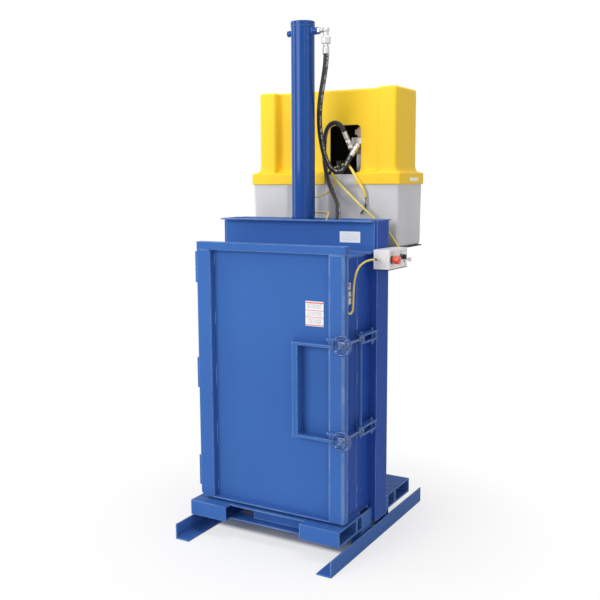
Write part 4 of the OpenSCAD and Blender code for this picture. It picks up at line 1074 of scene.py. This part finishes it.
def addLegends():  # plain strokes stand for words
    back, front = boxSet["face"] - boxSet["sunk"], boxSet["face"] + boxSet["proud"]
    low, high = (boxSet["z"][1] - drop for drop in legendSet["below"])
    words, bevel = legendSet["words"], legendSet["bevel"]
    bm = bmesh.new()
    for name, wide in legendSet["widths"].items():
        for k in range(words):
            near = boxSet[name][0] - wide / 2 + wide * k / words
            addBox(bm, (back, near, low), (front, near + wide * (0.10 + 0.06 * (k % 3)), high), bevel, 1)
    radius, (across, up) = legendSet["markRadius"], legendSet["mark"]
    for k in range(legendSet["marks"]):
        angle = math.radians(legendSet["markFrom"] + legendSet["markStep"] * k)
        y, z = boxSet["stop"][0] + radius * math.cos(angle), boxSet["stop"][1] + radius * math.sin(angle)
        addBox(bm, (back, y - across, z - up), (front, y + across, z + up), bevel, 1)
    pieceFrom(bm, "controlLegends", "frame", "box_grey", material=extra["mark"])


# distances run from behind the box's lid outwards
stopProfile = [
    (0.0, 0.0096), (0.002, 0.0104), (0.0385, 0.0104), (0.0390, 0.0150), (0.0397, 0.0176), (0.044, 0.0190),
    (0.056, 0.0199), (0.064, 0.0199), (0.068, 0.0188), (0.0705, 0.0150), (0.0715, 0.0100), (0.0719, 0.0040),
]
knobSet = {
    "profile": [(0.0, 0.0100), (0.001, 0.0104), (0.031, 0.0104), (0.0315, 0.0128), (0.040, 0.0124),
                (0.043, 0.0108)],
    "grip": (0.011, 0.0275), "gripHalf": (0.0042, 0.0118), "mark": (0.0268, 0.0279), "markHalf": 0.0007,
    "markUp": (0.0030, 0.0108),
}
keySet = {
    "profile": [(0.0, 0.0100), (0.001, 0.0104), (0.031, 0.0104), (0.0315, 0.0133), (0.037, 0.0130),
                (0.039, 0.0112), (0.0392, 0.0060)],
    "blade": (0.0085, 0.018), "bladeHigh": 0.0035, "half": 0.0012, "points": 28,
    "bow": (0.0250, 0.0085, 0.0096), "hole": (0.0265, 0.0034, 0.0034),  # middle, half length, half height
}


def addTurned(bm, name, profile, sides):
    y, z = boxSet[name]
    addLathe(bm, (boxSet["face"] - boxSet["hidden"], y, z), toRight, profile, sides)


def addStopButton():
    bm = bmesh.new()
    addTurned(bm, "stop", stopProfile, 48)
    pieceFrom(bm, "stopMushroom", "stop", "stop_red", ["stop_button"])


def addRunKnob():
    face, (y, z) = boxSet["face"], boxSet["selector"]
    bm = bmesh.new()
    addTurned(bm, "selector", knobSet["profile"], 40)
    (back, front), (across, up) = knobSet["grip"], knobSet["gripHalf"]
    addBox(bm, (face + back, y - across, z - up), (face + front, y + across, z + up), 0.0022, 3)
    pieceFrom(bm, "runKnob", "selector", "knob_black", ["run_selector"])
    bm = bmesh.new()
    (back, front), across, (low, high) = knobSet["mark"], knobSet["markHalf"], knobSet["markUp"]
    addBox(bm, (face + back, y - across, z + low), (face + front, y + across, z + high), 0.0003, 1)
    pieceFrom(bm, "runKnobMark", "selector", "knob_black", material=extra["label"])


def addKey():
    face, (y, z) = boxSet["face"], boxSet["key"]
    half, high = keySet["half"], keySet["bladeHigh"]
    bm = bmesh.new()
    addTurned(bm, "key", keySet["profile"], 40)
    back, front = keySet["blade"]
    addBox(bm, (face + back, y - half, z - high), (face + front, y + half, z + high), 0.0004, 1)
    angles = roundAngles(keySet["points"])
    pairs = []
    for side in (-half, half):
        rings = []
        for middle, reach, rise in (keySet["bow"], keySet["hole"]):
            spots = [(face + middle - reach * math.cos(a), y + side, z + rise * math.sin(a)) for a in angles]
            rings.append([bm.verts.new(spot) for spot in spots])
        bridgeRings(bm, *rings)
        pairs.append(rings)
    for near, far in zip(*pairs):
        bridgeRings(bm, near, far)
    pieceFrom(bm, "switchKey", "key", "key_chrome", ["key_switch"])


switchSet = {
    "x": (0.3865, 0.402), "y": (-0.312, -0.280), "z": (1.186, 1.283), "bevel": 0.0022, "fine": 0.0004,
    "bodyTop": 0.058, "headFrom": 0.061, "neck": (0.050, 0.070),
    "boss": (0.395, -0.305), "nut": (0.0138, 0.006),
    "sleeve": [(0.0, 0.0056), (0.004, 0.0056), (0.006, 0.0049)],
    "bands": ((0.0285, 0.0365), (0.0590, 0.0675)), "screws": (0.010, 0.047, 0.080), "screwIn": 0.016,
    "screw": [(0.0, 0.0038), (0.0010, 0.0038), (0.0014, 0.0026), (0.0008, 0.0012)],
}


def addDoorSwitch():
    values = switchSet
    (x0, x1), (y0, y1), (z0, z1) = values["x"], values["y"], values["z"]
    bm = bmesh.new()
    addBox(bm, (x0, y0, z0), (x1, y1, z0 + values["bodyTop"]), values["bevel"], 3)
    addBox(bm, (x0, y0 + 0.001, z0 + values["headFrom"]), (x1 - 0.001, y1 - 0.001, z1), values["bevel"], 3)
    low, high = values["neck"]
    addBox(bm, (x0, y0 + 0.003, z0 + low), (x1 - 0.003, y1 - 0.003, z0 + high), 0.001, 1)
    (x, y), (corner, height) = values["boss"], values["nut"]
    addHex(bm, (x, y, z0), toFloor, corner, height)
    addLathe(bm, (x, y, z0 - height), toFloor, values["sleeve"], 24)
    pieceFrom(bm, "doorSwitch", "frame", "switch_grey", ["interlock_switch"])


def addDoorSwitchTrim():
    values = switchSet
    (x0, x1), (y0, y1), (z0, z1), bevel = values["x"], values["y"], values["z"], values["fine"]
    bm = bmesh.new()
    addBox(bm, (x1 - 0.002, y0 + 0.008, z1 - 0.012), (x1 + 0.0002, y0 + 0.024, z1 - 0.005), bevel, 1)
    for low, high in values["bands"]:
        addBox(bm, (x1 - 0.004, y0 - 0.0003, z0 + low), (x1 + 0.0003, y1 - 0.004, z0 + high), bevel, 1)
    for up in values["screws"]:
        addLathe(bm, (x1 - 0.0012, y0 + values["screwIn"], z0 + up), toRight, values["screw"], 18)
    addBox(bm, (x0 + 0.002, y0 - 0.0003, z0 + 0.020), (x1 - 0.002, y0 + 0.002, z0 + 0.040), bevel, 1)
    pieceFrom(bm, "doorSwitchTrim", "frame", "switch_grey", material=finish["knob_black"])


addLidScrews()
addControlRings()
addLegends()
addStopButton()
addRunKnob()
addKey()
addDoorSwitch()
addDoorSwitchTrim()
print("controls made")

# Plates and labels: plain fields and generic lines

labelSet = {
    "doorLabel": {
        "body": "door", "slot": "machine_blue", "corner": (0.191, -0.3216, 1.079), "across": (0.093, 0, 0),
        "up": 0.114, "bands": [(0.02, 0.06), (0.345, 0.375), (0.62, 0.65), (0.915, 0.965)],
        "lines": [(0.70, 0.9, 5), (0.41, 0.59, 4), (0.10, 0.31, 5)],
    },
    "beamPlate": {
        "body": "frame", "slot": "machine_blue", "corner": (0.237, -0.0711, 1.445), "across": (0.107, 0, 0),
        "up": 0.052, "bands": [], "lines": [(0.18, 0.86, 5)],
    },
    "rimPlate": {
        "body": "frame", "slot": "hood_yellow", "corner": (0.4282, 0.318, 1.731), "across": (0, 0.103, 0),
        "up": 0.016, "bands": [], "lines": [(0.25, 0.75, 2)],
    },
}
printSet = {
    "plate": (0.0005, -0.0002), "band": (0.0002, 0.0002), "line": (0.00015, 0.0002),  # thickness, place
    "margin": 0.01, "indent": (0.08, 0.05), "word": (0.06, 0.13), "gap": 0.03, "last": 0.9, "end": 0.92,
    "half": 0.010,
}


def addLabel(name, values):
    corner, across = Vector(values["corner"]), Vector(values["across"])
    out = Vector(toTop).cross(across).normalized() * -1
    up = Vector((0, 0, values["up"]))

    def patch(bm, a0, a1, b0, b1, depth, lift):
        points = [corner + across * a + up * b for a, b in ((a0, b0), (a1, b0), (a1, b1), (a0, b1))]
        low = [bm.verts.new(p + out * lift) for p in points]
        high = [bm.verts.new(p + out * (lift + depth)) for p in points]
        bm.faces.new(high)
        bm.faces.new(list(reversed(low)))
        bridgeRings(bm, low, high)

    plate, bands, lines = bmesh.new(), bmesh.new(), bmesh.new()
    patch(plate, 0, 1, 0, 1, *printSet["plate"])
    for low, high in values["bands"]:
        patch(bands, printSet["margin"], 1 - printSet["margin"], low, high, *printSet["band"])
    (indent, ragged), (short, longer), half = printSet["indent"], printSet["word"], printSet["half"]
    for low, high, count in values["lines"]:
        for k in range(count):
            level = high - (high - low) * (k + 0.5) / count
            start = indent + ragged * random.random()
            while start < printSet["last"]:
                end = min(printSet["end"], start + short + longer * random.random())
                patch(lines, start, end, level - half, level + half, *printSet["line"])
                start = end + printSet["gap"]
    for bm, suffix, finishName in ((plate, "", "label"), (bands, "Bands", "band"), (lines, "Lines", "mark")):
        if bm.verts:
            pieceFrom(bm, name + suffix, values["body"], values["slot"], material=extra[finishName])
        else:
            bm.free()


for name, values in labelSet.items():
    addLabel(name, values)
print("labels placed")

# Weld beads: each seam stands upright at its x and y, and a bead goes from the second height up to the first

weldSet = {
    "radius": 0.0032, "ripple": 0.0028, "tip": 0.0006, "valley": 0.86, "swell": (0.88, 0.24),
    "taper": (0.35, 6),
}
weldSeams = {
    "frameWelds": ("frame", [
        (0.3868, -0.190, [(1.384, 1.316), (1.110, 1.052), (0.860, 0.800), (0.600, 0.545), (0.315, 0.269),
                          (0.220, 0.195)]),
        (-0.3868, -0.190, [(1.384, 1.316), (1.110, 1.052), (0.315, 0.269)]),
        (-0.3875, -0.3110, [(1.322, 1.250), (0.802, 0.730), (0.372, 0.300)]),
    ]),
    "doorWelds": ("door", [
        (-0.3125, -0.3215, [(1.392, 1.330), (1.111, 1.047), (0.846, 0.739), (0.547, 0.444), (0.259, 0.205)]),
        (0.1475, -0.3215, [(0.990, 0.935), (0.820, 0.770), (0.670, 0.612)]),
        (-0.3895, -0.3445, [(1.394, 1.330), (0.872, 0.808), (0.374, 0.310)]),
    ]),
}


def addBead(bm, start, end):
    length = (end - start).length
    count = max(4, int(length / weldSet["ripple"]))
    (least, more), (thin, rise) = weldSet["swell"], weldSet["taper"]
    profile = [(0.0, weldSet["tip"])]
    for k in range(count):
        share = (k + 0.5) / count
        radius = weldSet["radius"] * (least + more * random.random())
        radius *= min(1.0, thin + rise * min(share, 1 - share))
        profile.append((length * (k + 0.2) / count, radius * weldSet["valley"]))
        profile.append((length * (k + 0.7) / count, radius))
    profile.append((length, weldSet["tip"]))
    addLathe(bm, start, end - start, profile, 10)


def addWelds():
    for name, (body, seams) in weldSeams.items():
        bm = bmesh.new()
        for x, y, beads in seams:
            for top, bottom in beads:
                addBead(bm, Vector((x, y, bottom)), Vector((x, y, top)))
        pieceFrom(bm, name, body, "machine_blue", material=extra["weld"], angle=60)


addWelds()
print("welds laid")

# Studio: floor, world and lamps

studioSet = {
    "half": 7.0, "paper": 0.90, "grey": 0.38,  # the floor's half width and white, and the world's grey
    "horizon": (0.50, 1.30), "veil": 0.66,  # over this distance the floor turns to plain white
    "beneath": (0.34, 0.42), "stretch": (1.0, 1.35, 1.0),  # nothing white lies below the machine
}
lampSet = {
    "keyLamp": {"place": (-2.4, -7.3, 3.6), "aim": (0, 0, 1.2), "size": (4.4, 3.6), "power": 295},
    "fillLamp": {
        "place": (4.2, -1.0, 2.6), "aim": (0, 0.2, 1.4), "size": (1.6, 2.0), "power": 16,
        "tint": (1, 0.93, 1),
    },
    "topLamp": {"place": (0.2, -0.4, 4.8), "aim": (0, 0, 1.0), "size": (2.4, 2.4), "power": 75},
    "stripLamp": {"place": (-2.9, -1.2, 2.0), "aim": (0, 0, 2.0), "size": (0.5, 2.8), "power": 26},
    "edgeLamp": {"place": (3.6, -3.4, 1.9), "aim": (0.1, 0, 1.8), "size": (0.35, 3.2), "power": 14},
}


def seenRays(tree):
    ray = addNode(tree, "ShaderNodeLightPath")
    total = ray.outputs["Is Camera Ray"]
    for kind in ("Is Glossy Ray", "Is Transmission Ray"):
        total = mathOf(tree, "MAXIMUM", total, ray.outputs[kind])
    return total


def blendOf(tree, factor, first, second):
    blend = addNode(tree, "ShaderNodeMixShader")
    for socket, value in zip(blend.inputs, (factor, first, second)):
        tree.links.new(value, socket)
    return blend.outputs[0]


def addWorld():
    world = bpy.data.worlds.new("shopWorld")
    bpy.context.scene.world = world
    world.use_nodes = True
    tree = world.node_tree
    tree.nodes.clear()
    grey = studioSet["grey"]
    soft = addNode(tree, "ShaderNodeBackground", Color=(grey, grey, grey * 1.02, 1), Strength=1.0)
    white = addNode(tree, "ShaderNodeBackground", Color=(1, 1, 1, 1), Strength=1.0)
    output = addNode(tree, "ShaderNodeOutputWorld")
    tree.links.new(blendOf(tree, seenRays(tree), soft.outputs[0], white.outputs[0]), output.inputs[0])


def floorMaterial():
    material, tree, shader = newMaterial("floorPaper")
    paper = studioSet["paper"]
    shade(tree, shader, Base_Color=(paper, paper, paper, 1), Roughness=0.9, Specular_IOR_Level=0.1)
    point = objectPoint(tree)
    distance = mathOf(tree, "LENGTH", point, kind=vectorMath, out="Value")
    fade = rangeOf(tree, distance, *studioSet["horizon"], studioSet["veil"], 1.0)
    apart = mathOf(tree, "ABSOLUTE", point, kind=vectorMath)
    sides = addNode(tree, "ShaderNodeSeparateXYZ")
    tree.links.new(mathOf(tree, "MULTIPLY", apart, studioSet["stretch"], kind=vectorMath), sides.inputs[0])
    outside = mathOf(tree, "MAXIMUM", sides.outputs["X"], sides.outputs["Y"])
    white = mathOf(tree, "MINIMUM", rangeOf(tree, outside, *studioSet["beneath"]), fade)
    seen = mathOf(tree, "MULTIPLY", white, seenRays(tree))
    glow = addNode(tree, "ShaderNodeEmission", Color=(1, 1, 1, 1), Strength=1.0)
    surface = blendOf(tree, seen, shader.outputs[0], glow.outputs[0])
    tree.links.new(surface, tree.nodes["Material Output"].inputs["Surface"])
    return material


def addFloor():
    half = studioSet["half"]
    mesh = bpy.data.meshes.new("shopFloor")
    corners = [(-half, -half, 0), (half, -half, 0), (half, half, 0), (-half, half, 0)]
    mesh.from_pydata(corners, [], [(0, 1, 2, 3)])
    floor = linkNew("shopFloor", mesh)
    floor.data.materials.append(floorMaterial())


def addLamps():
    for name, values in lampSet.items():
        data = bpy.data.lights.new(name, "AREA")
        data.shape = "RECTANGLE"
        data.size, data.size_y = values["size"]
        data.energy = values["power"]
        data.color = values.get("tint", (1, 1, 1))
        lamp = linkNew(name, data)
        direction = Vector(values["aim"]) - Vector(values["place"])
        facing = direction.to_track_quat("-Z", "Y").to_matrix().to_4x4()
        lamp.matrix_world = Matrix.Translation(values["place"]) @ facing


addWorld()
addFloor()
addLamps()
bpy.context.scene.view_settings.view_transform = "Standard"
print("studio lit")
